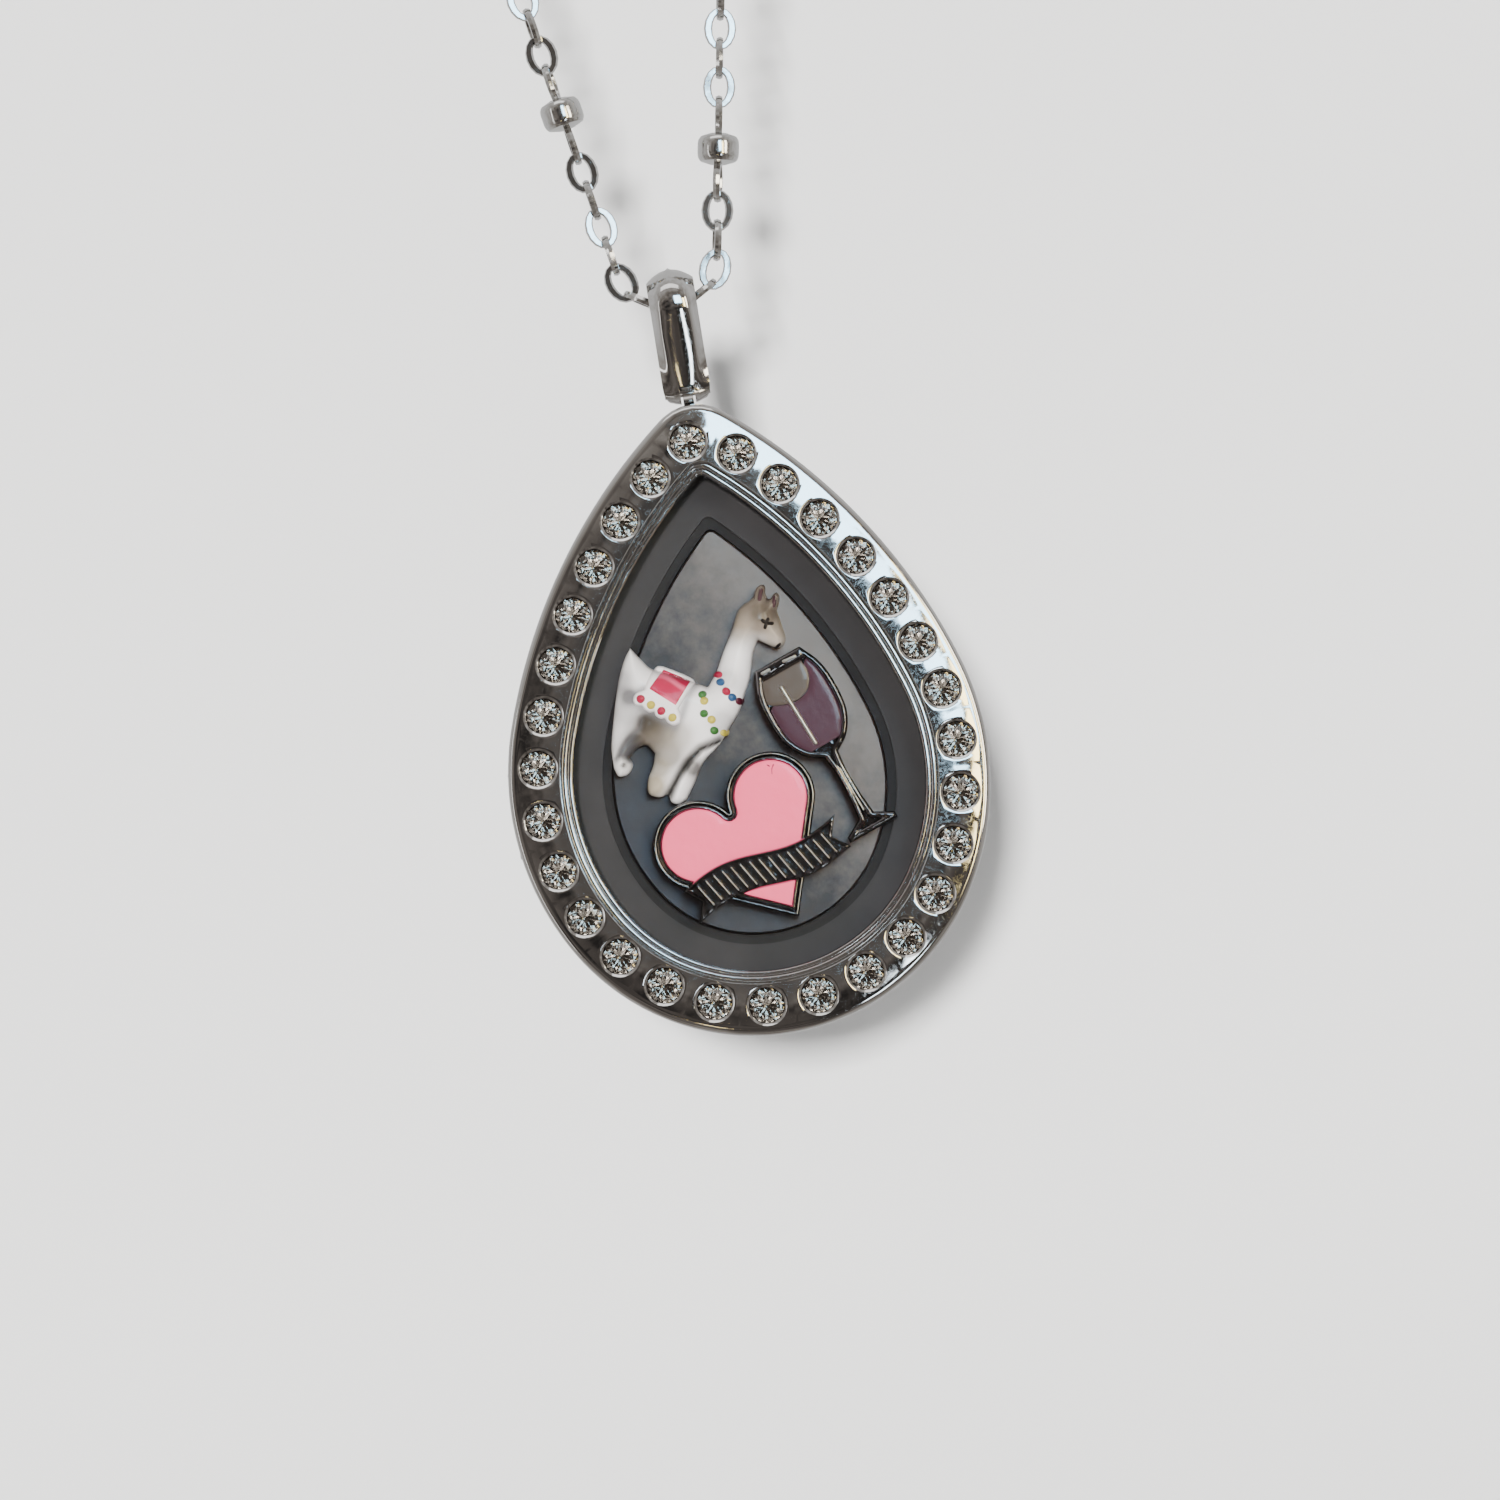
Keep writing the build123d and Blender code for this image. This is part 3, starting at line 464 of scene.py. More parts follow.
bail_half_w = 1.14 * mm
bail_depth = 3.6 * mm
bail_t = 0.72 * mm
boss_r = 0.74 * mm
hole_low_r = 0.3 * mm
fork_top = 0.8 * mm
fork_half = 0.35 * mm
fork_hollow_r = 0.78 * mm
mouth_top = 0.2 * mm
foot_round = 0.42 * mm
foot_reach = 0.7 * mm
foot_share = 0.2
strip_sides = 52
oval_share = 0.66
flank_power = 1.15
end_power = 0.8
inside_power = 0.35
oval_fall = 0.09 * mm
edge_fall = 0.6 * mm
foot_fall = 0.26 * mm
pin_low, pin_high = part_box("bail_pin")
pin_z = (pin_low[2] + pin_high[2]) / 2
bend_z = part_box("bail")[1][2] - bail_depth / 2
hole_low_z = pin_z + fork_top + hole_low_r
counts = (40, 18, 20)
outer = two_circle_loop(bail_depth / 2, boss_r, bend_z, pin_z, counts)
inner = two_circle_loop(bail_depth / 2 - bail_t, hole_low_r, bend_z, hole_low_z, counts)
middle, half_t = (outer + inner) / 2, np.linalg.norm(outer - inner, axis=1)[:, None] / 2
facing = unit(outer - inner)
around = whole_turn(strip_sides)
above_foot = (outer[:, 1] - outer[:, 1].min())[:, None]
height_share = above_foot / np.ptp(outer[:, 1])
oval = oval_share * np.sqrt(np.clip(1 - (2 * height_share - 1) ** 2, 0.01, 1))
fall = edge_fall + (foot_fall - edge_fall) * np.exp(-((height_share / foot_share) ** 2))
side = np.abs(np.cos(around))
flank = np.clip((side - oval) / (1 - oval), 0, 1)
flank = flank ** (flank_power + end_power * (1 - oval / oval_share))
dome = half_t - oval_fall * np.clip(side / oval, 0, 1) ** 2 - (fall - oval_fall) * flank
inside = (2 * half_t - fall) * (1 - np.abs(np.sin(around)) ** inside_power) - half_t
height = np.where(np.sin(around) > 0, dome, inside)
to_foot = 1 - np.clip(above_foot / foot_reach, 0, 1)
half_w = bail_half_w - foot_round * (1 - np.sqrt(1 - to_foot**2))
flat = middle[:, None] + facing[:, None] * height[..., None]
bail_points = np.insert(flat, 0, half_w * np.cos(around), axis=-1).reshape(-1, 3)
bail_faces = grid_faces(len(outer), len(around), True, True)
mirror_finish = "mirror polished stainless steel"
polished_steel = steel_finish(mirror_finish, "#CFCDCB", 0.06, 0.10, 2.2 * mm, 0.03 * mm)
parts = [(bail_points, bail_faces)]
bail = make_piece("bail_strip", parts, polished_steel, "bail", ["bail"])
mouth_low = pin_z - 2 * boss_r
mouth = np.array([(-bail_depth, mouth_low), (bail_depth, mouth_low)])
mouth = np.concatenate([mouth, [(bail_depth, pin_z + mouth_top), (-bail_depth, pin_z + mouth_top)]])
fork_round = round_points((0, pin_z), fork_hollow_r, whole_turn(32))
cut_away(bail, [prism(line, -fork_half, fork_half, 0) for line in (mouth, fork_round)])
refinish("bail_pin", polished_steel)

# Case back and hinge pin: the rear half of the locket, of mirror polished steel, with the eye
# for the bail's pin and two hinge knuckles. The hinge pin is of the same steel.
for node in ("case_back", "hinge_pin"):
    refinish(node, polished_steel)

# Front bezel: the polished front half. Its face is level inside and slopes outwards past the
# stones, each seat has a bright countersunk rim, and two lands between grooves frame the window.
# Its knuckle turns between the case's two knuckles, and it is hollowed to clear them.
side_r = 13.4 * mm
flank_r = 28.1 * mm
tip_r = 3.45 * mm
corner_r = 2.4 * mm
corner_w = 1.2 * mm
low_join = math.radians(-31)
high_join = math.radians(18)
stone_line = 1.43 * mm
stone_count = 29
stone_shift = 0.37 * mm
low_centre = np.array([0.0, 0.0])
side_centre = round_points(low_centre, bottom_r - side_r, low_join)
flank_centre = round_points(side_centre, side_r - flank_r, high_join)


def teardrop_at(shares, inset, tip):
    """Points at shares of the way round the teardrop, clockwise from its tip, set in from the edge.
    The shares are of the length of the stones' line, whose arcs turn about the same centres."""
    tip_centre = (0.0, flank_centre[1] + math.sqrt((flank_r - tip) ** 2 - flank_centre[0] ** 2))
    join = math.atan2(tip_centre[1] - flank_centre[1], -flank_centre[0])
    centres = np.array([tip_centre, flank_centre, side_centre, low_centre])
    radii = np.array([tip, flank_r, side_r, bottom_r])
    uppers = np.array([math.pi / 2, join, high_join, low_join])
    lowers = np.array([join, high_join, low_join, -math.pi / 2])
    ends = np.cumsum((radii - stone_line) * (uppers - lowers))
    places = np.mod(shares, 1.0) * 2 * ends[-1]
    folded = np.where(places > ends[-1], 2 * ends[-1] - places, places)
    arc = np.minimum(np.searchsorted(ends, folded), 3)
    along_arc = folded - np.concatenate([[0], ends[:-1]])[arc]
    angle = uppers[arc] - along_arc / (radii - stone_line)[arc]
    flat = round_points(np.moveaxis(centres[arc], -1, 0), radii[arc] - inset, angle)
    flat[..., 0] *= np.where(places > ends[-1], -1.0, 1.0)
    return flat, 2 * ends[-1]


def on_teardrop(shares, inset):
    """The outer edge turns a tighter corner at the tip than the lines inside it."""
    outer = teardrop_at(shares, inset, corner_r)[0]
    inner = teardrop_at(shares, inset, tip_r)[0]
    return np.where((inset < corner_w)[..., None], outer, inner)


def in_place(flat, depth):
    """Flat points of the locket's front at their depths, in the object's frame."""
    return np.stack([flat[..., 0], depth, locket_z + flat[..., 1]], axis=-1)


def face_depth(inset):
    """Level inside the stones' line, sloping back ever more outside it, with a round between."""
    out = stone_line - inset
    straight = face_y + slope * (np.sqrt(out**2 + slope_round**2) + out) / 2
    return straight + slope_curve * np.maximum(out, 0) ** 2


def land(low, high, top_y, shoulder_r):
    """A flat land between two insets, with rounded shoulders."""
    rise, drop = np.radians(np.linspace([180, 270], [270, 360], 5)).T
    shoulder_y = top_y + shoulder_r
    first = round_points((low + shoulder_r, shoulder_y), shoulder_r, rise)
    return np.concatenate([first, round_points((high - shoulder_r, shoulder_y), shoulder_r, drop)])


face_y = -3.3 * mm
face_out = 0.42 * mm
face_in = 2.45 * mm
slope = math.tan(math.radians(7.5))
slope_round = 0.3 * mm
slope_curve = 26.0
edge_side_y = -2.85 * mm
break_w = 0.03 * mm
groove_floor_y = -2.72 * mm
groove_floor = (2.50 * mm, 2.55 * mm)
outer_land = (2.56 * mm, 2.79 * mm, -3.04 * mm, 0.06 * mm)
step_floor_y = -2.70 * mm
step_floor = (2.80 * mm, 2.84 * mm)
inner_land = (2.85 * mm, 3.05 * mm, -2.91 * mm, 0.05 * mm)
window_edge = 3.1 * mm
glass_front_y = -2.48 * mm
glass_back_y = -1.58 * mm
glass_edge = 2.6 * mm
wall_in = 2.8 * mm
parting_y = -0.04 * mm
side_ys = (-1.4 * mm, -2.6 * mm)

edge_turn = np.radians(np.linspace(0, 90, 8))
edge_inset = face_out * (1 - np.cos(edge_turn))
edge_depth = edge_side_y + (face_depth(face_out) - edge_side_y) * np.sin(edge_turn)
section = [
    [(face_in, face_depth(face_in)), (face_in + break_w, face_depth(face_in) + break_w)],
    [(inset, groove_floor_y) for inset in groove_floor],
    land(*outer_land),
    [(inset, step_floor_y) for inset in step_floor],
    land(*inner_land),
    [(window_edge, step_floor_y), (window_edge, glass_front_y), (glass_edge, glass_front_y)],
    [(glass_edge, glass_back_y), (wall_in, glass_back_y), (wall_in, parting_y), (0, parting_y)],
    [(0, y) for y in side_ys],
    np.stack([edge_inset, edge_depth], axis=1),
]
section = np.concatenate(section)
cell_steps = 12
wall_steps = 6
ring_count = stone_count * cell_steps
first_share = -stone_shift / teardrop_at(0.0, stone_line, tip_r)[1]
ring_shares = first_share + np.arange(ring_count)[:, None] / ring_count
insets, depths, ring_shares = np.broadcast_arrays(section[:, 0], section[:, 1], ring_shares)
ring = in_place(on_teardrop(ring_shares, insets), depths)
parts = [(ring.reshape(-1, 3), grid_faces(ring_count, len(section), True, False))]

# Face of each stone's cell: rings that pass from the cell's border to the seat's round rim, then
# rings that follow the seat down. The rim's two steps follow the face, the others are level.
seat_rim_r = 0.98 * mm
rim_break = (0.96 * mm, 0.012 * mm)
rim_foot = (0.86 * mm, 0.06 * mm)
seat_levels = [(0.86 * mm, 0.32 * mm), (0.45 * mm, 0.66 * mm), (0.0, 0.99 * mm)]
walls = np.linspace(face_out, face_in, wall_steps + 1)
steps = np.arange(cell_steps) - cell_steps / 2
last_step = np.full(wall_steps, cell_steps / 2)
border_place = np.concatenate([steps, last_step, -steps, -last_step])
level_out, level_in = np.full(cell_steps, face_out), np.full(cell_steps, face_in)
border_inset = np.concatenate([level_out, walls[:-1], level_in, walls[:0:-1]])
stones = first_share + np.arange(stone_count) / stone_count
border_share = stones[:, None] + border_place / ring_count
border_inset = np.broadcast_to(border_inset, border_share.shape)
border = on_teardrop(border_share, border_inset)
stone_spots = on_teardrop(stones, np.full(stone_count, stone_line))
round_about = unit(border - stone_spots[:, None])
rim = stone_spots[:, None] + seat_rim_r * round_about
share = np.linspace(1, 0, 5)[:, None, None]
cell = border[:, None] * share + rim[:, None] * (1 - share)
outwards = unit(on_teardrop(stones, np.full(stone_count, corner_w)) - stone_spots)
rim_inset = stone_line - ((rim - stone_spots[:, None]) * outwards[:, None]).sum(axis=-1)
share = share[..., 0]
cell_y = face_depth(border_inset[:, None] * share + rim_inset[:, None] * (1 - share))
rim_y = cell_y[:, -1]
seat_steps = [rim_break, rim_foot, *seat_levels]
seat_rings = [stone_spots[:, None] + radius * round_about for radius, _ in seat_steps]
seat_depths = [rim_y + depth for _, depth in (rim_break, rim_foot)]
seat_depths += [np.full_like(rim_y, face_y + depth) for _, depth in seat_levels]
flat = np.concatenate([cell, np.stack(seat_rings, axis=1)], axis=1)
cells = in_place(flat, np.concatenate([cell_y, np.stack(seat_depths, axis=1)], axis=1))
parts.append((cells.reshape(-1, 3), grid_faces(*cells.shape[1:3], False, True, stone_count)))
steel_slot, nodes = "polished_steel", ["front_bezel"]
bezel = make_piece("bezel_front", parts, polished_steel, "lid", nodes, 50)

knuckle_r = 0.6 * mm
knuckle_half = 0.65 * mm
knuckle_pitch = 1.4 * mm
knuckle_gap = 0.1 * mm
knuckle_sides = 32
sweep_r = 0.73 * mm
bore_r = 0.29 * mm
hinge_x, _, hinge_z = (np.array(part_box("hinge_pin")[0]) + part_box("hinge_pin")[1]) / 2


def hinge_circle(radius):
    return round_points((hinge_x, 0), radius, whole_turn(knuckle_sides))


hollows = []
for middle_z in (hinge_z - knuckle_pitch, hinge_z + knuckle_pitch):
    reach = knuckle_half + knuckle_gap
    hollows.append(prism(hinge_circle(sweep_r), middle_z - reach, middle_z + reach, 2))
cut_away(bezel, hollows)
low_z, high_z = hinge_z - knuckle_half, hinge_z + knuckle_half
loops = [(knuckle_r, low_z), (knuckle_r, high_z), (bore_r, high_z), (bore_r, low_z)]
points = np.concatenate([np.insert(hinge_circle(radius), 2, z, axis=1) for radius, z in loops])
parts = [(points, grid_faces(len(loops), knuckle_sides, True, True))]
make_piece("bezel_knuckle", parts, polished_steel, "lid")

# Stones: round brilliants of lead crystal, cut and polished, flush in their seats. Their facets
# break the room into small bright and dark wedges.
crystal, tree = new_finish("cut lead crystal")
cut_glass = {"Base Color": linear("#847D74"), "Roughness": 0.0, "IOR": 1.7}
cut_glass["Transmission Weight"] = 1.0
add_node(tree, "OutputMaterial", {"Surface": add_node(tree, "BsdfPrincipled", cut_glass)})
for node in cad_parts:
    if node.startswith("crystal_"):
        refinish(node, crystal)

# Window: flat clear mineral glass behind the lip. Only its outer skin shines, so that it stays
# clear from low angles.
window, tree = new_finish("clear mineral glass")
clear = add_node(tree, "BsdfTransparent", {"Color": linear("#FAF9F8")})
shine = add_node(tree, "BsdfGlossy", {"Color": linear("#FFFFFF"), "Roughness": 0.02})
skin = add_node(tree, "Fresnel", {"IOR": 1.45})
behind = add_node(tree, "NewGeometry").outputs["Backfacing"]
outer = add_node(tree, "Math", {0: 1.0, 1: behind}, operation="SUBTRACT")
outer_skin = add_node(tree, "Math", {0: skin, 1: outer}, operation="MULTIPLY")
both = add_node(tree, "MixShader", {0: outer_skin, 1: clear, 2: shine})
add_node(tree, "OutputMaterial", {"Surface": both})
refinish("front_glass", window)

# Dark ring: pressed steel blackened in a bath, with a step down to the plate. It is matt and
# faintly clouded, and painted shade darkens its step, the more the deeper it lies.
ring_front_y = 1.2 * mm
ring_step_y = 1.5 * mm
step_shade_span = {"From Min": ring_front_y, "From Max": ring_step_y, "To Min": 1.0, "To Max": 0.5}
blackened, tree = new_finish("blackened steel")
place = add_node(tree, "TexCoord").outputs["Object"]
cloud = add_node(tree, "TexNoise", {"Vector": place, "Scale": 1 / (3 * mm), "Detail": 3.0})
tone = add_node(tree, "ValToRGB", {"Fac": cloud}, [(0.3, "#333335"), (0.7, "#3B3A3C")])
# Painted shade: the colour falls to half from the ring's front to its step
depth = add_node(tree, "SeparateXYZ", {0: place}).outputs["Y"]
painted_step_shade = add_node(tree, "MapRange", {"Value": depth, **step_shade_span})
tone_with_painted_shade = add_node(tree, "VectorMath", {0: tone, 1: painted_step_shade}, operation="MULTIPLY")
surface = {"Base Color": tone_with_painted_shade, "Metallic": 0.3, "Roughness": 0.55}
add_node(tree, "OutputMaterial", {"Surface": add_node(tree, "BsdfPrincipled", surface)})
refinish("inner_ring", blackened)

# Plate: satin stainless steel, lightly mottled, under the charms. Its front carries a painted
# sheen, lighter and warmer to the upper right and a cold grey at the left; its back is even.
satin_and_sheen_tones = [(0.0, "#69676D"), (0.45, "#645F60"), (1.0, "#AA9A94")]
back_tone = 0.6
cloud_grain = 5 * mm
mottle_grain = 1.2 * mm
sheen_way = (0.9, 0.0, 0.42)
sheen_span = {"From Min": -6 * mm, "From Max": 6.5 * mm}
back_span = {"From Min": 1.2 * mm, "From Max": 2.4 * mm}
satin, tree = new_finish("satin stainless steel")
place = add_node(tree, "TexCoord").outputs["Object"]
from_locket = add_node(tree, "VectorMath", {0: place, 1: (0, 0, -locket_z)}, operation="ADD")
# Painted sheen: the colour grows lighter and warmer across the front towards the upper right
across = add_node(tree, "VectorMath", {0: from_locket, 1: sheen_way}, operation="DOT_PRODUCT")
cloud = add_node(tree, "TexNoise", {"Vector": place, "Scale": 1 / cloud_grain, "Detail": 2.0})
painted_sheen = add_node(tree, "MapRange", {"Value": across.outputs["Value"], **sheen_span})
drift = add_node(tree, "Math", {0: cloud, 1: 0.6, 2: -0.3}, operation="MULTIPLY_ADD")
sheen_and_drift = add_node(tree, "Math", {0: painted_sheen, 1: drift}, operation="ADD")
mottled = {"Scale": 1 / mottle_grain, "Detail": 6.0, "Roughness": 0.7}
mottle = add_node(tree, "TexNoise", {"Vector": place, **mottled})
speckle = add_node(tree, "Math", {0: mottle, 1: 0.7, 2: -0.35}, operation="MULTIPLY_ADD")
sheen_and_mottle = add_node(tree, "Math", {0: sheen_and_drift, 1: speckle}, operation="ADD")
depth = add_node(tree, "SeparateXYZ", {0: place}).outputs["Y"]
to_back = add_node(tree, "MapRange", {"Value": depth, **back_span})
sheen_drift_and_mottle = add_node(tree, "Mix", {0: to_back, 2: sheen_and_mottle, 3: back_tone}, data_type="FLOAT")
tone = add_node(tree, "ValToRGB", {"Fac": sheen_drift_and_mottle}, satin_and_sheen_tones)
rough = add_node(tree, "MapRange", {"Value": mottle, "To Min": 0.32, "To Max": 0.5})
grain = add_node(tree, "Bump", {"Height": mottle, "Distance": 0.03 * mm, "Strength": 0.5})
surface = {"Base Color": tone, "Metallic": 1.0, "Roughness": rough, "Normal": grain}
add_node(tree, "OutputMaterial", {"Surface": add_node(tree, "BsdfPrincipled", surface)})
refinish("back_plate", satin)


# Llama: a small cast figure in white enamel, tan on head and hooves, with a raised saddle
# blanket and beads painted in colour. It lies loose in the chamber, its flat back to the plate.
def outline_through(stretches, steps, closed=False):
    """Smooth stretches that meet at corners: a Catmull-Rom curve through the points of each. On a
    closed line each starts at the last point of the one before."""
    line = []
    for number, stretch in enumerate(stretches):
        spots = np.array([stretches[number - 1][-1], *stretch] if closed else stretch, float)
        padded = np.concatenate([[2 * spots[0] - spots[1]], spots, [2 * spots[-1] - spots[-2]]])
        t = np.linspace(0, 1, steps, endpoint=False)[None, :, None]
        a, b, c, d = (padded[i : len(padded) - 3 + i, None] for i in range(4))
        cubic = (1.5 * (b - c) + (d - a) / 2) * t**3
        curve = b + (c - a) / 2 * t + (a - 2.5 * b + 2 * c - d / 2) * t**2 + cubic
        line.append(curve.reshape(-1, 2))
    return np.concatenate(line)


def even_steps(line, step):
    """A closed line walked at even steps."""
    closed = np.concatenate([line, line[:1]])
    runs = lengths_along(closed)
    places = np.linspace(0, runs[-1], max(8, int(runs[-1] / step)), endpoint=False)
    return at_lengths(places, runs, closed)


def segment_distance(points, start, end):
    """Distance from points to the straight runs from start to end."""
    run = end - start
    share = ((points[:, None] - start) * run).sum(-1) / np.maximum((run**2).sum(-1), 1e-18)
    return np.linalg.norm(points[:, None] - start - np.clip(share, 0, 1)[..., None] * run, axis=-1)


def inset_of(points, outline):
    """Distance inwards from a closed line; less than nought outside it, by the even-odd rule."""
    ends = np.roll(outline, -1, axis=0)
    rise = np.where(ends[:, 1] == outline[:, 1], 1e-12, ends[:, 1] - outline[:, 1])
    spans = (outline[:, 1] > points[:, 1, None]) != (ends[:, 1] > points[:, 1, None])
    climb = (points[:, 1, None] - outline[:, 1]) / rise
    crossing = outline[:, 0] + climb * (ends[:, 0] - outline[:, 0])
    inside = (spans & (points[:, 0, None] < crossing)).sum(axis=1) % 2 == 1
    away = segment_distance(points, outline, ends).min(axis=1)
    return np.where(inside, away, -away)


def relief(outline, insets, step, front, back, place):
    """A casting over a flat outline: rows of points parallel to the edge, fans of them about its
    notches and a field of points inside are joined into triangles. front(points, inset) and
    back(points) give depths, and a wall joins the two. place turns the piece's frame into the
    locket's. A point of a row or fan stays if it lies nearly its whole inset from the edge."""
    notch, nearly_row, nearly_fan, fan_shares = -0.35, 0.93, 0.97, np.linspace(0, 1, 7)
    after = np.roll(outline, -1, axis=0)
    area = (outline[:, 0] * after[:, 1] - outline[:, 1] * after[:, 0]).sum()
    outline = outline if area > 0 else outline[::-1]
    inwards = unit(quarter_turn(np.roll(outline, -1, axis=0) - np.roll(outline, 1, axis=0)))
    after = unit(quarter_turn(np.roll(outline, -1, axis=0) - outline))
    before = np.roll(after, 1, axis=0)
    notched = (quarter_turn(before) * after).sum(axis=1) < notch
    before, after = before[notched], after[notched]
    fans = [before * (1 - share) + after * share for share in fan_shares]
    rows = []
    for inset in insets:
        row = outline + inwards * inset
        rows.append(row[inset_of(row, outline) > nearly_row * inset])
        for fan in fans:
            row = outline[notched] + fan * inset / np.linalg.norm(fan, axis=1)[:, None]
            rows.append(row[inset_of(row, outline) > nearly_fan * inset])
    low, high = outline.min(axis=0), outline.max(axis=0)
    across = np.arange(low[0], high[0], step)
    upwards = np.arange(low[1], high[1], step * math.sqrt(3) / 2)
    field = np.stack(np.meshgrid(across, upwards), axis=-1)
    field[1::2, :, 0] += step / 2
    field = field.reshape(-1, 2)
    rows.append(field[inset_of(field, outline) > insets[-1] + step / 2])
    spots = np.concatenate([outline, *rows])
    here = np.arange(len(outline))
    there = np.roll(here, -1)
    edges = list(zip(here.tolist(), there.tolist()))
    made = delaunay_2d_cdt([Vector(spot) for spot in spots / mm], edges, [], 0, 1e-6)
    spots = np.array([tuple(spot) for spot in made[0]]) * mm
    triangles = np.array(made[2])
    triangles = triangles[inset_of(spots[triangles].mean(axis=1), outline) > 0]
    fronts = in_place(place(spots), front(spots, np.maximum(inset_of(spots, outline), 0)))
    backs = in_place(place(spots), back(spots))
    whole = len(spots)
    wall = [(here, here + whole, there), (there, here + whole, there + whole)]
    faces = [triangles, triangles[:, ::-1] + whole, *(np.stack(half, axis=1) for half in wall)]
    return np.concatenate([fronts, backs]), np.concatenate(faces)


def stroke(line, radius, surface, place, sides=8):
    """A raised line on a surface: a tube with rounded ends, sunk by half of its radius."""
    line = np.array(line, float)
    runs = lengths_along(line)
    turn = np.linspace(0, math.pi, int(runs[-1] / radius) + 11)
    wanted = runs[-1] / 2 - (runs[-1] / 2 + radius) * np.cos(turn)
    places = np.clip(wanted, 0, runs[-1])
    beyond = wanted - places
    first, last = (line[1] - line[0]) / runs[1], (line[-1] - line[-2]) / (runs[-1] - runs[-2])
    middle = at_lengths(places, runs, line)
    middle += np.where(beyond[:, None] < 0, first, last) * beyond[:, None]
    aside = quarter_turn(unit(np.gradient(middle, axis=0)))
    size = radius * np.sqrt(np.clip(1 - (beyond / radius) ** 2, 0, 1))[:, None]
    around = whole_turn(sides)
    flat = middle[:, None] + aside[:, None] * (size * np.cos(around))[..., None]
    depth = surface(middle)[:, None] + size * np.sin(around) + radius / 2
    points = in_place(place(flat.reshape(-1, 2)).reshape(flat.shape), depth)
    return points.reshape(-1, 3), grid_faces(len(middle), sides, False, True)


def enamel_finish(name, colour, rough, coat, speckle=0.0):
    """Fired enamel: an even colour, or the piece's own paint, under a glassy and uneven skin."""
    finish, tree = new_finish(name)
    place = add_node(tree, "TexCoord").outputs["Object"]
    pools = add_node(tree, "TexNoise", {"Vector": place, "Scale": 1 / (0.5 * mm), "Detail": 2.0})
    shade = add_node(tree, "MapRange", {"Value": pools, "To Min": 1 - speckle, "To Max": 1.0})
    if colour is None:
        base = add_node(tree, "VertexColor", layer_name="paint").outputs["Color"]
    else:
        base = add_node(tree, "RGB").outputs[0]
        base.default_value = linear(colour)
    tinted = add_node(tree, "VectorMath", {0: base, 1: shade}, operation="MULTIPLY")
    bump = add_node(tree, "Bump", {"Height": pools, "Distance": 0.02 * mm, "Strength": 1.0})
    surface = {"Base Color": tinted, "Roughness": rough, "Coat Weight": coat, "Normal": bump}
    add_node(tree, "OutputMaterial", {"Surface": add_node(tree, "BsdfPrincipled", surface)})
    return finish


def bulge(share):
    """A quarter circle's rise: nought at the edge, one from a full share on."""
    return np.sqrt(1 - (1 - np.clip(share, 0, 1)) ** 2)


def near(points, spot, reach):
    """One at a spot, falling to nought over a reach."""
    return np.exp(-(((points - np.array(spot)) / reach) ** 2).sum(axis=1))


def level(depth):
    """A surface at one depth."""
    return lambda spots: np.full(len(spots), depth)


def leaned(x, z, lean):
    """Turns points of a charm's own frame into the locket's, by a lean in degrees."""
    cos, sin = math.cos(math.radians(lean)), math.sin(math.radians(lean))
    return lambda spots: spots @ np.array([[cos, sin], [-sin, cos]]) + (x, z)


def flat_spots(piece):
    """The flat places of a finished piece's points."""
    spots = np.zeros(3 * len(piece.data.vertices))
    piece.data.vertices.foreach_get("co", spots)
    return spots.reshape(-1, 3)[:, [0, 2]] - (0, locket_z)


def blend(base, colour, weight):
    """Passes from colours to one colour by a weight for each point."""
    return base * (1 - weight[:, None]) + np.array(linear(colour)[:3]) * weight[:, None]


def paint(piece, colours):
    """Stores a colour for each point, linear, for the piece's material to read."""
    layer = piece.data.color_attributes.new("paint", "FLOAT_COLOR", "POINT")
    layer.data.foreach_set("color", np.insert(colours, 3, 1.0, axis=1).ravel())


charm_back_y = 0.8 * mm
flat_back = level(charm_back_y)
in_locket = leaned(0, 0, 0)
llama_low = np.array([-6.36 * mm, 0.5 * mm])
llama_size = np.array([9.2 * mm, 9.85 * mm])
llama_stretches = [
    [(0.227, 0.735), (0.285, 0.672), (0.42, 0.61), (0.552, 0.545)],
    [(0.608, 0.611), (0.663, 0.707), (0.725, 0.803), (0.775, 0.895), (0.865, 0.945)],
    [(0.893, 0.988), (0.93, 1.0)],
    [(0.925, 0.96), (0.935, 0.915)],
    [(0.962, 0.93), (0.985, 0.955)],
    [(0.998, 0.92), (0.973, 0.86)],
    [(0.988, 0.786), (0.995, 0.721), (0.966, 0.683), (0.925, 0.69), (0.85, 0.735)],
    [(0.812, 0.67), (0.781, 0.564), (0.74, 0.488), (0.696, 0.408), (0.632, 0.334)],
    [(0.563, 0.26), (0.471, 0.19), (0.405, 0.095), (0.35, 0.02)],
    [(0.305, 0.004), (0.27, 0.02), (0.262, 0.062)],
    [(0.21, 0.052), (0.16, 0.08), (0.168, 0.145), (0.205, 0.209), (0.225, 0.267)],
    [(0.19, 0.312), (0.14, 0.305), (0.088, 0.268)],
    [(0.103, 0.23), (0.07, 0.188), (0.02, 0.184), (0.0, 0.225)],
    [(0.005, 0.33), (0.039, 0.464), (0.089, 0.625), (0.14, 0.735), (0.184, 0.795)],
]
leg_gap = [(0.262, 0.055), (0.333, 0.142), (0.396, 0.205), (0.465, 0.252), (0.57, 0.276)]
haunch_fold = [(0.018, 0.270), (0.087, 0.342), (0.171, 0.398), (0.187, 0.441)]
belly_tucks = [((0.25, 0.37), 0.3 * mm, 0.8 * mm), ((0.12, 0.31), 0.18 * mm, 0.6 * mm)]
llama_edge_t = 0.45 * mm
llama_least_t = 0.3 * mm
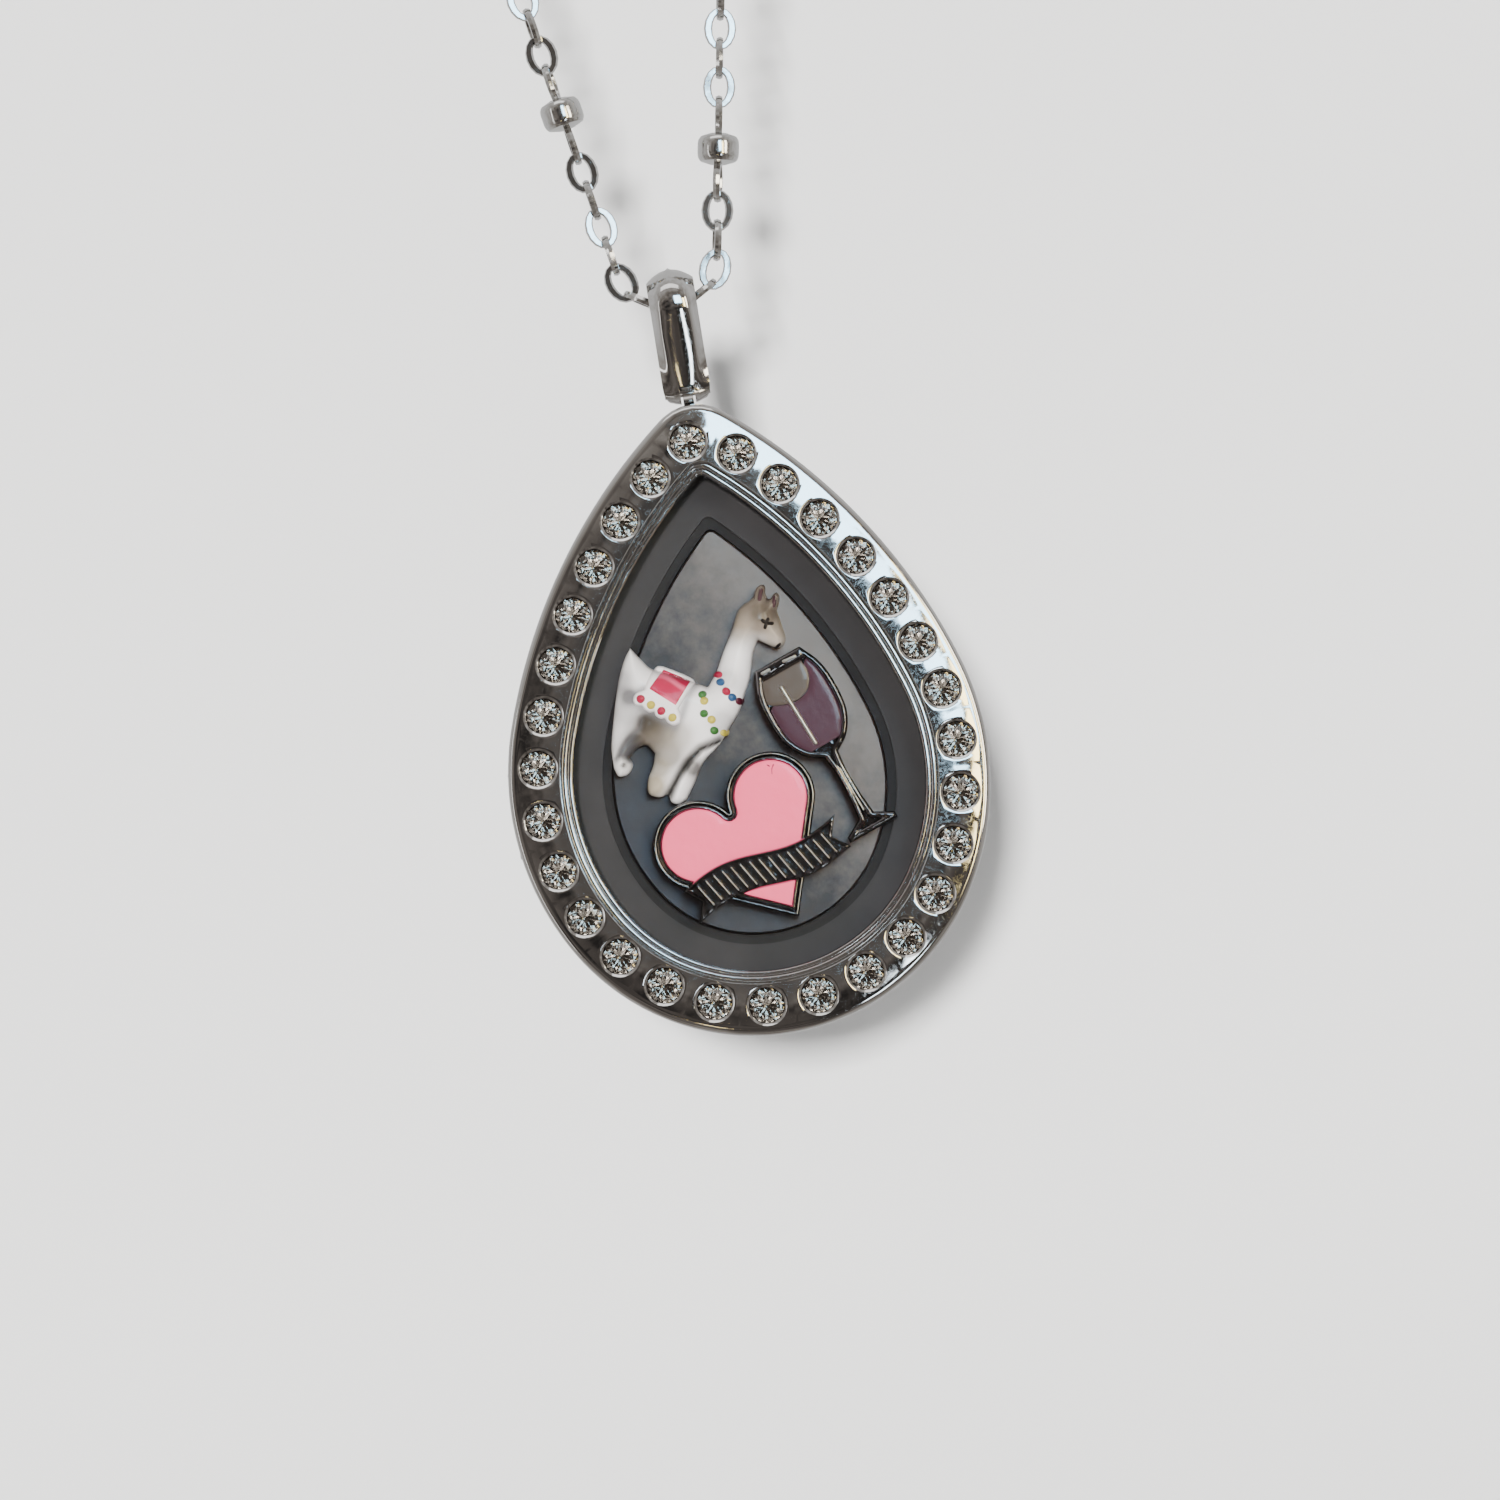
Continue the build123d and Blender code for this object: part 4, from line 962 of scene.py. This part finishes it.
llama_dome = 0.95 * mm
llama_dome_w = 1.05 * mm
gap_w = 0.17 * mm
gap_depth = 0.55 * mm
fold_w = 0.15 * mm
fold_depth = 0.22 * mm


def llama_spots(shares):
    """Places given as shares of the llama's width and height."""
    return np.array(shares) * llama_size + llama_low


llama_line = even_steps(llama_spots(outline_through(llama_stretches, 16, True)), 0.07 * mm)


def along_line(spots, line, width):
    """One on a line through shares of the llama, falling to nought over a width."""
    line = llama_spots(line)
    away = segment_distance(spots, line[:-1], line[1:]).min(axis=1)
    return np.exp(-((away / width) ** 2))


def llama_front(spots, inset):
    """Rounded from the outline inwards, a gap between the front legs, a fold of the haunch over the
    hind leg and a tucked-in belly."""
    rise = llama_edge_t + llama_dome * bulge(inset / llama_dome_w)
    rise = rise - gap_depth * along_line(spots, leg_gap, gap_w)
    rise = rise - fold_depth * along_line(spots, haunch_fold, fold_w)
    for place, depth, reach in belly_tucks:
        rise = rise - depth * near(spots, llama_spots(place), reach)
    return charm_back_y - np.maximum(rise, llama_least_t)


def llama_surface(spots):
    return llama_front(spots, np.maximum(inset_of(spots, llama_line), 0))


white_enamel = enamel_finish("white enamel", None, 0.35, 0.5, 0.12)
edge_rows = np.array([0.04, 0.1, 0.18, 0.28, 0.4]) * mm
parts = [relief(llama_line, edge_rows, 0.09 * mm, llama_front, flat_back, in_locket)]
llama = make_piece("llama_figure", parts, white_enamel, "locket", ["llama"], 50)

# Painted shade on the enamel in its hollows and folds, on the haunch, belly and legs, and its
# own tan on head, neck and hooves: colour, weight, place, reach in mm
shade_and_tan_spots = [
    ("#554C41", 0.8, (0.885, 0.862), 0.5),
    ("#554C41", 0.7, (0.925, 0.844), 0.4),
    ("#A89E90", 0.7, (0.945, 0.722), 0.5),
    ("#A89D8D", 0.5, (0.765, 0.79), 0.5),
    ("#8F8F94", 0.6, (0.105, 0.64), 0.6),
    ("#4A4A4E", 0.85, (0.140, 0.555), 0.42),
    ("#8B8B8F", 0.5, (0.12, 0.48), 0.7),
    ("#3E3E42", 1.0, (0.135, 0.325), 0.62),
    ("#48484C", 1.0, (0.085, 0.285), 0.5),
    ("#3F3A33", 1.0, (0.225, 0.405), 0.72),
    ("#443E36", 1.0, (0.285, 0.355), 0.62),
    ("#635C52", 0.85, (0.212, 0.325), 0.5),
    ("#7A746A", 0.8, (0.29, 0.25), 0.75),
    ("#A0957A", 0.85, (0.195, 0.11), 0.55),
    ("#F6F6F4", 0.9, (0.045, 0.225), 0.30),
    ("#2E2A27", 0.9, (0.055, 0.232), 0.12),
    ("#6C6B69", 0.9, (0.41, 0.165), 0.4),
    ("#9B9C9F", 0.5, (0.60, 0.36), 0.6),
    ("#A2A3A6", 0.5, (0.66, 0.56), 0.5),
    ("#8E8674", 0.6, (0.235, 0.19), 0.5),
    ("#A39D92", 0.6, (0.36, 0.33), 0.7),
]
blanket_foot = [(0.225, 0.585), (0.152, 0.55), (0.195, 0.49), (0.252, 0.452), (0.3, 0.415)]
blanket_foot += [(0.35, 0.372), (0.4, 0.43), (0.44, 0.51), (0.497, 0.575)]
# Painted shade along lines: the blanket's shadow below its edge, the gap between the front legs and
# the fold over the hind leg
painted_line_shades = [
    ("#6A6A6E", 0.7, blanket_foot, 0.22 * mm),
    ("#1C1917", 1.0, leg_gap, gap_w),
    ("#5A5A5C", 0.7, haunch_fold, 0.7 * fold_w),
]
neck_foot, neck_way, neck_reach = (0.71, 0.69), (0.35, 0.94), 1.3 * mm
spots = flat_spots(llama)
up_neck = np.clip((spots - llama_spots(neck_foot)) @ neck_way / neck_reach, 0, 1)
colours = np.tile(linear("#FBFBFC")[:3], (len(spots), 1))
colours = blend(colours, "#7B7062", 0.95 * up_neck**1.3)
# Painted shade and tan, spot by spot
for colour, weight, place, reach in shade_and_tan_spots:
    shade_and_tan_weight = weight * np.minimum(1.6 * near(spots, llama_spots(place), reach * mm), 1)
    colours = blend(colours, colour, shade_and_tan_weight)
for colour, weight, line, width in painted_line_shades:
    colours = blend(colours, colour, weight * along_line(spots, line, width))
paint(llama, colours)

# Painted lines of the llama: cross eye and nostril, ears' rims, ears' insides
eye_lines = [
    [(0.889, 0.82), (0.909, 0.803), (0.937, 0.799)],
    [(0.893, 0.814), (0.914, 0.801)],
    [(0.916, 0.822), (0.906, 0.803), (0.897, 0.785)],
    [(0.936, 0.687), (0.955, 0.697)],
]
ear_rims = [
    [(0.868, 0.935), (0.886, 0.975), (0.908, 0.992), (0.926, 0.985), (0.922, 0.955), (0.93, 0.922)],
    [(0.93, 0.922), (0.952, 0.918), (0.978, 0.942), (0.987, 0.918), (0.974, 0.872)],
]
ear_rims = [outline_through([line], 6) for line in ear_rims]
ear_insides = [
    [(0.892, 0.925), (0.9, 0.95), (0.908, 0.97)],
    [(0.958, 0.885), (0.966, 0.905), (0.972, 0.925)],
]
for name, finish_name, colour, lines, radius in (
    ("llama_face_paint", "black enamel paint", "#15100F", eye_lines, 0.105 * mm),
    ("llama_ear_rims", "tan enamel paint", "#4E453E", ear_rims, 0.055 * mm),
    ("llama_ear_insides", "rose enamel paint", "#432D33", ear_insides, 0.1 * mm),
):
    parts = [stroke(llama_spots(line), radius, llama_surface, in_locket) for line in lines]
    make_piece(name, parts, enamel_finish(finish_name, colour, 0.4, 0.3), "locket")

# Saddle blanket: a raised white border round a pink field with lighter streaks, and a trim
# of beads below it. All of it follows the llama's rounded back.
blanket_stretches = [
    [(0.25, 0.625), (0.283, 0.667), (0.311, 0.686), (0.34, 0.68)],
    [(0.41, 0.643), (0.476, 0.602), (0.492, 0.578)],
    [(0.43, 0.51), (0.385, 0.46)],
    [(0.392, 0.43), (0.383, 0.395), (0.349, 0.383), (0.317, 0.4), (0.306, 0.426)],
    [(0.283, 0.427), (0.261, 0.444), (0.256, 0.465)],
    [(0.231, 0.465), (0.207, 0.484), (0.2, 0.501)],
    [(0.166, 0.511), (0.157, 0.54), (0.178, 0.568), (0.222, 0.58)],
]
field_corners = [(0.339, 0.664), (0.47, 0.587), (0.373, 0.478), (0.25, 0.578)]
border_rise = 0.28 * mm
border_round = 0.22 * mm
blanket_sink = 0.1 * mm
field_rise = 0.03 * mm
field_pillow = 0.04 * mm
field_round = 0.12 * mm
dot_r = 0.23 * mm
blanket_line = even_steps(llama_spots(outline_through(blanket_stretches, 8, True)), 0.06 * mm)
field_line = even_steps(llama_spots(field_corners), 0.06 * mm)
thin_rows = np.array([0.03, 0.07, 0.12]) * mm


def streaks(spots):
    """Waves across the field, bent by a slower wave along it."""
    return np.sin(spots @ np.array([2.1, 5.2]) / mm + 1.4 * np.sin(spots[:, 0] * 2.3 / mm))


def border_front(spots, inset):
    return llama_surface(spots) - border_rise * bulge(inset / border_round)


def field_front(spots, inset):
    pillow = field_pillow * bulge(inset / field_round) * (1 + 0.5 * streaks(spots))
    return llama_surface(spots) - border_rise - field_rise - pillow


def under_blanket(spots):
    return llama_surface(spots) + blanket_sink


def trim_y(spots):
    """The beads lie on the blanket's border inside it and on the llama outside it."""
    return border_front(spots, inset_of(spots, blanket_line).clip(0))


border_white = enamel_finish("white enamel border", "#ECEAEC", 0.35, 0.4)
parts = [relief(blanket_line, thin_rows, 0.07 * mm, border_front, under_blanket, in_locket)]
make_piece("blanket_border", parts, border_white, "locket", crease=60)
pink = enamel_finish("streaked pink enamel", None, 0.35, 0.4)
parts = [relief(field_line, thin_rows, 0.06 * mm, field_front, under_blanket, in_locket)]
field = make_piece("blanket_field", parts, pink, "locket", ["llama_blanket"], 60)
spots = flat_spots(field)
light = np.clip(streaks(spots) * 1.5 - 0.5, 0, 1)
paint(field, blend(np.tile(linear("#A81A42")[:3], (len(spots), 1)), "#DE6482", light))

yellow_beads = [(0.246, 0.5), (0.346, 0.423), (0.523, 0.476), (0.545, 0.383), (0.601, 0.317)]
bead_colours = [
    ("red", "#9C1F3E", [(0.198, 0.536), (0.294, 0.464), (0.616, 0.59), (0.644, 0.507)]),
    ("yellow", "#B9AC45", yellow_beads),
    ("green", "#33632F", [(0.519, 0.507), (0.511, 0.417), (0.55, 0.331)]),
    ("blue", "#2B4F78", [(0.622, 0.553), (0.67, 0.476)]),
    ("dark_red", "#4A1B2A", [(0.706, 0.456)]),
]
dot_line = np.array([(-0.01, 0), (0.01, 0)]) * mm
for name, colour, places in bead_colours:
    dots = [llama_spots(place) + dot_line for place in places]
    parts = [stroke(dot, dot_r, trim_y, in_locket, 16) for dot in dots]
    finish = enamel_finish(name + " enamel bead", colour, 0.3, 0.5)
    make_piece("llama_beads_" + name, parts, finish, "locket")

# Wine glass: a flat dark steel casting with raised rims, filled with enamel in two colours,
# and a bright bar left standing in the fill. It lies loose, its flat back to the plate.
in_glass = leaned(5.46 * mm, -2.0 * mm, 20.4)
glass_h = 9.3 * mm
glass_half_w = 1.85 * mm
foot_shares = [(0.0, -0.02), (0.7, -0.02), (0.7, 0.012), (0.22, 0.065)]
stem_shares = [(0.22, 0.065), (0.16, 0.2), (0.15, 0.33), (0.2, 0.425)]
bowl_shares = [(0.2, 0.425), (0.62, 0.485), (0.92, 0.59), (1.0, 0.73), (0.93, 0.87), (0.66, 0.995)]
top_bar = np.array([[-0.55, 0.962], [0.55, 0.962]]) * (glass_half_w, glass_h)
charm_edge_y = charm_back_y - 0.98 * mm
tray_y = charm_back_y - 0.75 * mm
rim_rise = 0.22 * mm
rim_half_w = 0.17 * mm
tray_inset = 0.3 * mm
bar_half_w = 0.3 * mm
bar_rise = 1.1 * rim_rise
half = [foot_shares[:2], foot_shares[1:3], foot_shares[2:], stem_shares, bowl_shares]
half = np.concatenate([outline_through(half, 12), [bowl_shares[-1]]]) * (glass_half_w, glass_h)
glass_line = even_steps(np.concatenate([half, half[:0:-1] * (-1, 1)]), 0.05 * mm)


def glass_front(spots, inset):
    """A rounded rim all round; the bowl's inside is let down, the top bar and foot stand full."""
    rim = np.sqrt(1 - np.clip(np.abs(inset - rim_half_w) / rim_half_w, 0, 1) ** 2) * rim_rise
    away = segment_distance(spots, top_bar[:1], top_bar[1:])[:, 0]
    bar = bar_rise * np.sqrt(1 - np.clip(away / bar_half_w, 0, 1) ** 2)
    in_bowl = (spots[:, 1] > bowl_shares[0][1] * glass_h) & (inset > tray_inset) & (bar == 0)
    return np.where(in_bowl, tray_y, charm_edge_y) - np.maximum(rim, bar)


dark_cast = steel_finish("antiqued cast steel", "#706E70", 0.08, 0.10, 0.4 * mm, 0.02 * mm)
fine_rows = np.array([0.03, 0.08, 0.14, 0.2, 0.26, 0.31, 0.36]) * mm
parts = [relief(glass_line, fine_rows, 0.1 * mm, glass_front, flat_back, in_glass)]
make_piece("wine_glass_casting", parts, dark_cast, "locket", ["wine_glass"], 50)

# Bright lines of the glass in its own frame, in mm: the bar, and painted highlights where the top
# and the stem glint
bar_line = [(-0.52, 7.93), (-0.46, 6.4), (-0.40, 4.83)]
painted_top_glints = [[(-0.98, 8.97), (-0.62, 8.97)], [(0.2, 8.98), (0.78, 8.93)]]
painted_stem_glints = [[(-0.17, 1.0), (-0.13, 3.6)], [(0.02, 0.9), (0.02, 3.2)], [(0.18, 1.0), (0.15, 3.7)]]
bar_and_glint_steel = steel_finish("polished bar and painted glints", "#F4F0E6", 0.3, 0.0, 1.0 * mm, 0.0)
parts = []
# The bar, then painted highlights on the top and the stem, all of pale steel
for lines, radius, depth, sides in (
    ([bar_line], 0.115 * mm, 0.02 * mm, 8),
    (painted_top_glints, 0.09 * mm, bar_rise, 8),
    (painted_stem_glints, 0.04 * mm, 0.9 * rim_rise, 6),
):
    top_y = level(charm_edge_y - depth)
    parts += [stroke(np.array(line) * mm, radius, top_y, in_glass, sides) for line in lines]
make_piece("wine_glass_bar_and_painted_glints", parts, bar_and_glint_steel, "locket", crease=60)

wall_inset = 0.33 * mm
fill_low = 4.55 * mm
fill_top = 8.62 * mm
fill_sink = 0.12 * mm
fill_pillow = 0.05 * mm
fill_round = 0.3 * mm
fill_root = 0.05 * mm
seam = 0.03 * mm
wine_edge = [(-1.3, 7.36), (-0.73, 7.12), (-0.3, 7.03), (0.09, 7.05), (0.53, 7.24), (0.85, 7.6)]
wine_edge = outline_through([np.array([*wine_edge, (1.0, 8.1), (0.96, 8.45)]) * mm], 6)
bowl_side = outline_through([bowl_shares], 10) * (glass_half_w, glass_h)
wall_z = np.linspace(fill_low, fill_top, 24)
wall_x = np.interp(wall_z, bowl_side[:, 1], bowl_side[:, 0]) - wall_inset
right_wall = np.stack([wall_x, wall_z], axis=1)
low_wall = right_wall[wall_z < 7.36 * mm] * (-1, 1)
high_wall = right_wall[wall_z > 7.4 * mm] * (-1, 1)
wine_line = np.concatenate([low_wall[::-1], right_wall, wine_edge[::-1]])
empty_line = np.concatenate([wine_edge + (0, seam), [(0.95 * mm, fill_top)], high_wall[::-1]])
fill_back = level(tray_y + fill_root)


def fill_front(spots, inset):
    return charm_edge_y + fill_sink - fill_pillow * bulge(inset / fill_round)


for name, line, colour, slot, node in (
    ("wine_fill", wine_line, "#3F2833", "wine_red_enamel", "wine_enamel"),
    ("glass_fill", empty_line, "#4C453F", "grey_enamel", "bowl_enamel"),
):
    line = even_steps(line, 0.08 * mm)
    finish = enamel_finish(name + " enamel", colour, 0.3, 0.5, 0.08)
    parts = [relief(line, thin_rows, 0.16 * mm, fill_front, fill_back, in_glass)]
    make_piece(name, parts, finish, "locket", [node])

# Heart: a dark steel casting with a grooved rim, pink enamel inside it and a raised ribbon
# across it, ribbed from end to end. It lies loose, its flat back to the plate.
in_heart = leaned(1.31 * mm, -5.71 * mm, 25.0)
lobe_r = 2.15 * mm
lobe_x = 2.1 * mm
lobe_z = 5.55 * mm
heart_rim = 0.42 * mm
heart_rim_rise = 0.2 * mm
rim_groove = 0.13 * mm
rim_groove_w = 0.05 * mm
rim_groove_in = 0.2 * mm
rim_round = 0.07 * mm
heart_tray_in = 0.4 * mm


def heart_outline(inset):
    """Two lobes and the straight flanks that touch them, drawn in by an inset all round."""
    reach = math.hypot(lobe_x, lobe_z)
    touch = math.atan2(lobe_z, lobe_x) - math.acos(-lobe_r / reach)
    notch = math.pi - math.acos(lobe_x / lobe_r)
    lobe = round_points((lobe_x, lobe_z), lobe_r - inset, np.linspace(touch, notch, 60))
    point = np.array([[0, -inset / math.sin(touch)]])
    dip_z = lobe_z + lobe_r * math.sin(notch)
    dip = round_points((0, dip_z), inset, np.linspace(notch - math.pi, -notch, 9))
    return np.concatenate([point, lobe, dip, lobe[::-1] * (-1, 1)])


def heart_front(spots, inset):
    """A flat rim with a groove along its middle and rounded edges; the tray inside lies lower."""
    groove = rim_groove * np.exp(-(((inset - rim_groove_in) / rim_groove_w) ** 2))
    rim = charm_edge_y - heart_rim_rise * bulge(inset / rim_round) + groove
    return np.where(inset > heart_tray_in, tray_y, rim)


heart_rows = np.array([0.025, 0.06, 0.1, 0.14, 0.17, 0.2, 0.23, 0.27, 0.32, 0.37, 0.405, 0.43]) * mm
heart_line = even_steps(heart_outline(0), 0.07 * mm)
parts = [relief(heart_line, heart_rows, 0.25 * mm, heart_front, flat_back, in_heart)]

banner_l = 8.2 * mm
banner_h = 1.75 * mm
banner_wave = 0.35 * mm
banner_ribs = 7
on_heart = leaned(0, 2.75 * mm, -7.0)
banner_rise = 0.32 * mm
banner_round = 0.08 * mm
banner_edge_rise = 0.16 * mm
banner_edge_round = 0.12 * mm
banner_edge_w = 0.14 * mm
banner_edge_fall = 0.06 * mm
banner_end = 0.9 * mm
banner_rows = np.array([0.03, 0.07, 0.12, 0.17, 0.22, 0.27]) * mm
share = np.linspace(-1, 1, 81)
wave = -banner_wave * np.sin(math.pi * share)
low_edge = np.stack([share * banner_l / 2, wave - banner_h / 2], axis=1)
high_edge = low_edge[::-1] + (0, banner_h)
tail = np.array([[banner_l / 2 - banner_h / 3, 0]])
banner_line = np.concatenate([low_edge, tail, high_edge, -tail])
banner_line = even_steps(on_heart(banner_line), 0.07 * mm)


def banner_front(spots, inset):
    """A raised and rounded edge round a level field."""
    inner_side = np.clip(1 - (inset - banner_edge_w) / banner_edge_fall, 0, 1)
    edge = inner_side * bulge(inset / banner_edge_round)
    return charm_edge_y - banner_rise * bulge(inset / banner_round) - banner_edge_rise * edge


parts.append(relief(banner_line, banner_rows, 0.2 * mm, banner_front, flat_back, in_heart))
rib_r = 0.12 * mm
rib_lean = 0.14 * mm
rib_half_l = 0.66 * banner_h / 2
rib_rise = 0.37 * mm
crest_rise = 0.44 * mm
ribs = []
for foot in np.arange(-banner_ribs, banner_ribs + 1) / banner_ribs * (banner_l / 2 - banner_end):
    ends = np.array([[foot + rib_lean, -rib_half_l], [foot - rib_lean, rib_half_l]])
    ends[:, 1] -= banner_wave * np.sin(math.pi * ends[:, 0] / (banner_l / 2))
    ribs.append(on_heart(ends))
parts += [stroke(ends, rib_r, level(charm_edge_y - rib_rise), in_heart) for ends in ribs]
make_piece("heart_casting", parts, dark_cast, "locket", ["heart"], 50)

# Painted highlights on the crests: a pale line round the heart's rim and one on each rib
crest_highlight_steel = steel_finish("pale steel painted highlight", "#E4E0D8", 0.3, 0.2, 0.6 * mm, 0.02 * mm)
rim_top, rib_top = level(charm_edge_y - heart_rim_rise), level(charm_edge_y - crest_rise)
parts = [stroke(heart_outline(0.11 * mm), 0.035 * mm, rim_top, in_heart, 6)]
parts += [stroke(ends * (1, 0.98), 0.03 * mm, rib_top, in_heart, 6) for ends in ribs]
make_piece("heart_painted_crest_highlights", parts, crest_highlight_steel, "locket", crease=60)

pink_enamel = enamel_finish("pink enamel", "#FF6087", 0.3, 0.4, 0.05)
tray_line = even_steps(heart_outline(heart_rim), 0.09 * mm)
parts = [relief(tray_line, thin_rows, 0.25 * mm, fill_front, fill_back, in_heart)]
heart_nodes = ["heart_enamel_top", "heart_enamel_tip"]
make_piece("heart_fill", parts, pink_enamel, "locket", heart_nodes)
hairlines = [[(3.07, 6.73), (2.89, 6.61), (2.76, 6.40)], [(2.81, 6.87), (2.86, 6.77)]]
enamel_skin = level(charm_edge_y + 0.08 * mm)
dark_line = enamel_finish("dark line in the enamel", "#6B1F33", 0.4, 0.3)
parts = [stroke(np.array(line) * mm, 0.035 * mm, enamel_skin, in_heart) for line in hairlines]
make_piece("heart_hairlines", parts, dark_line, "locket")
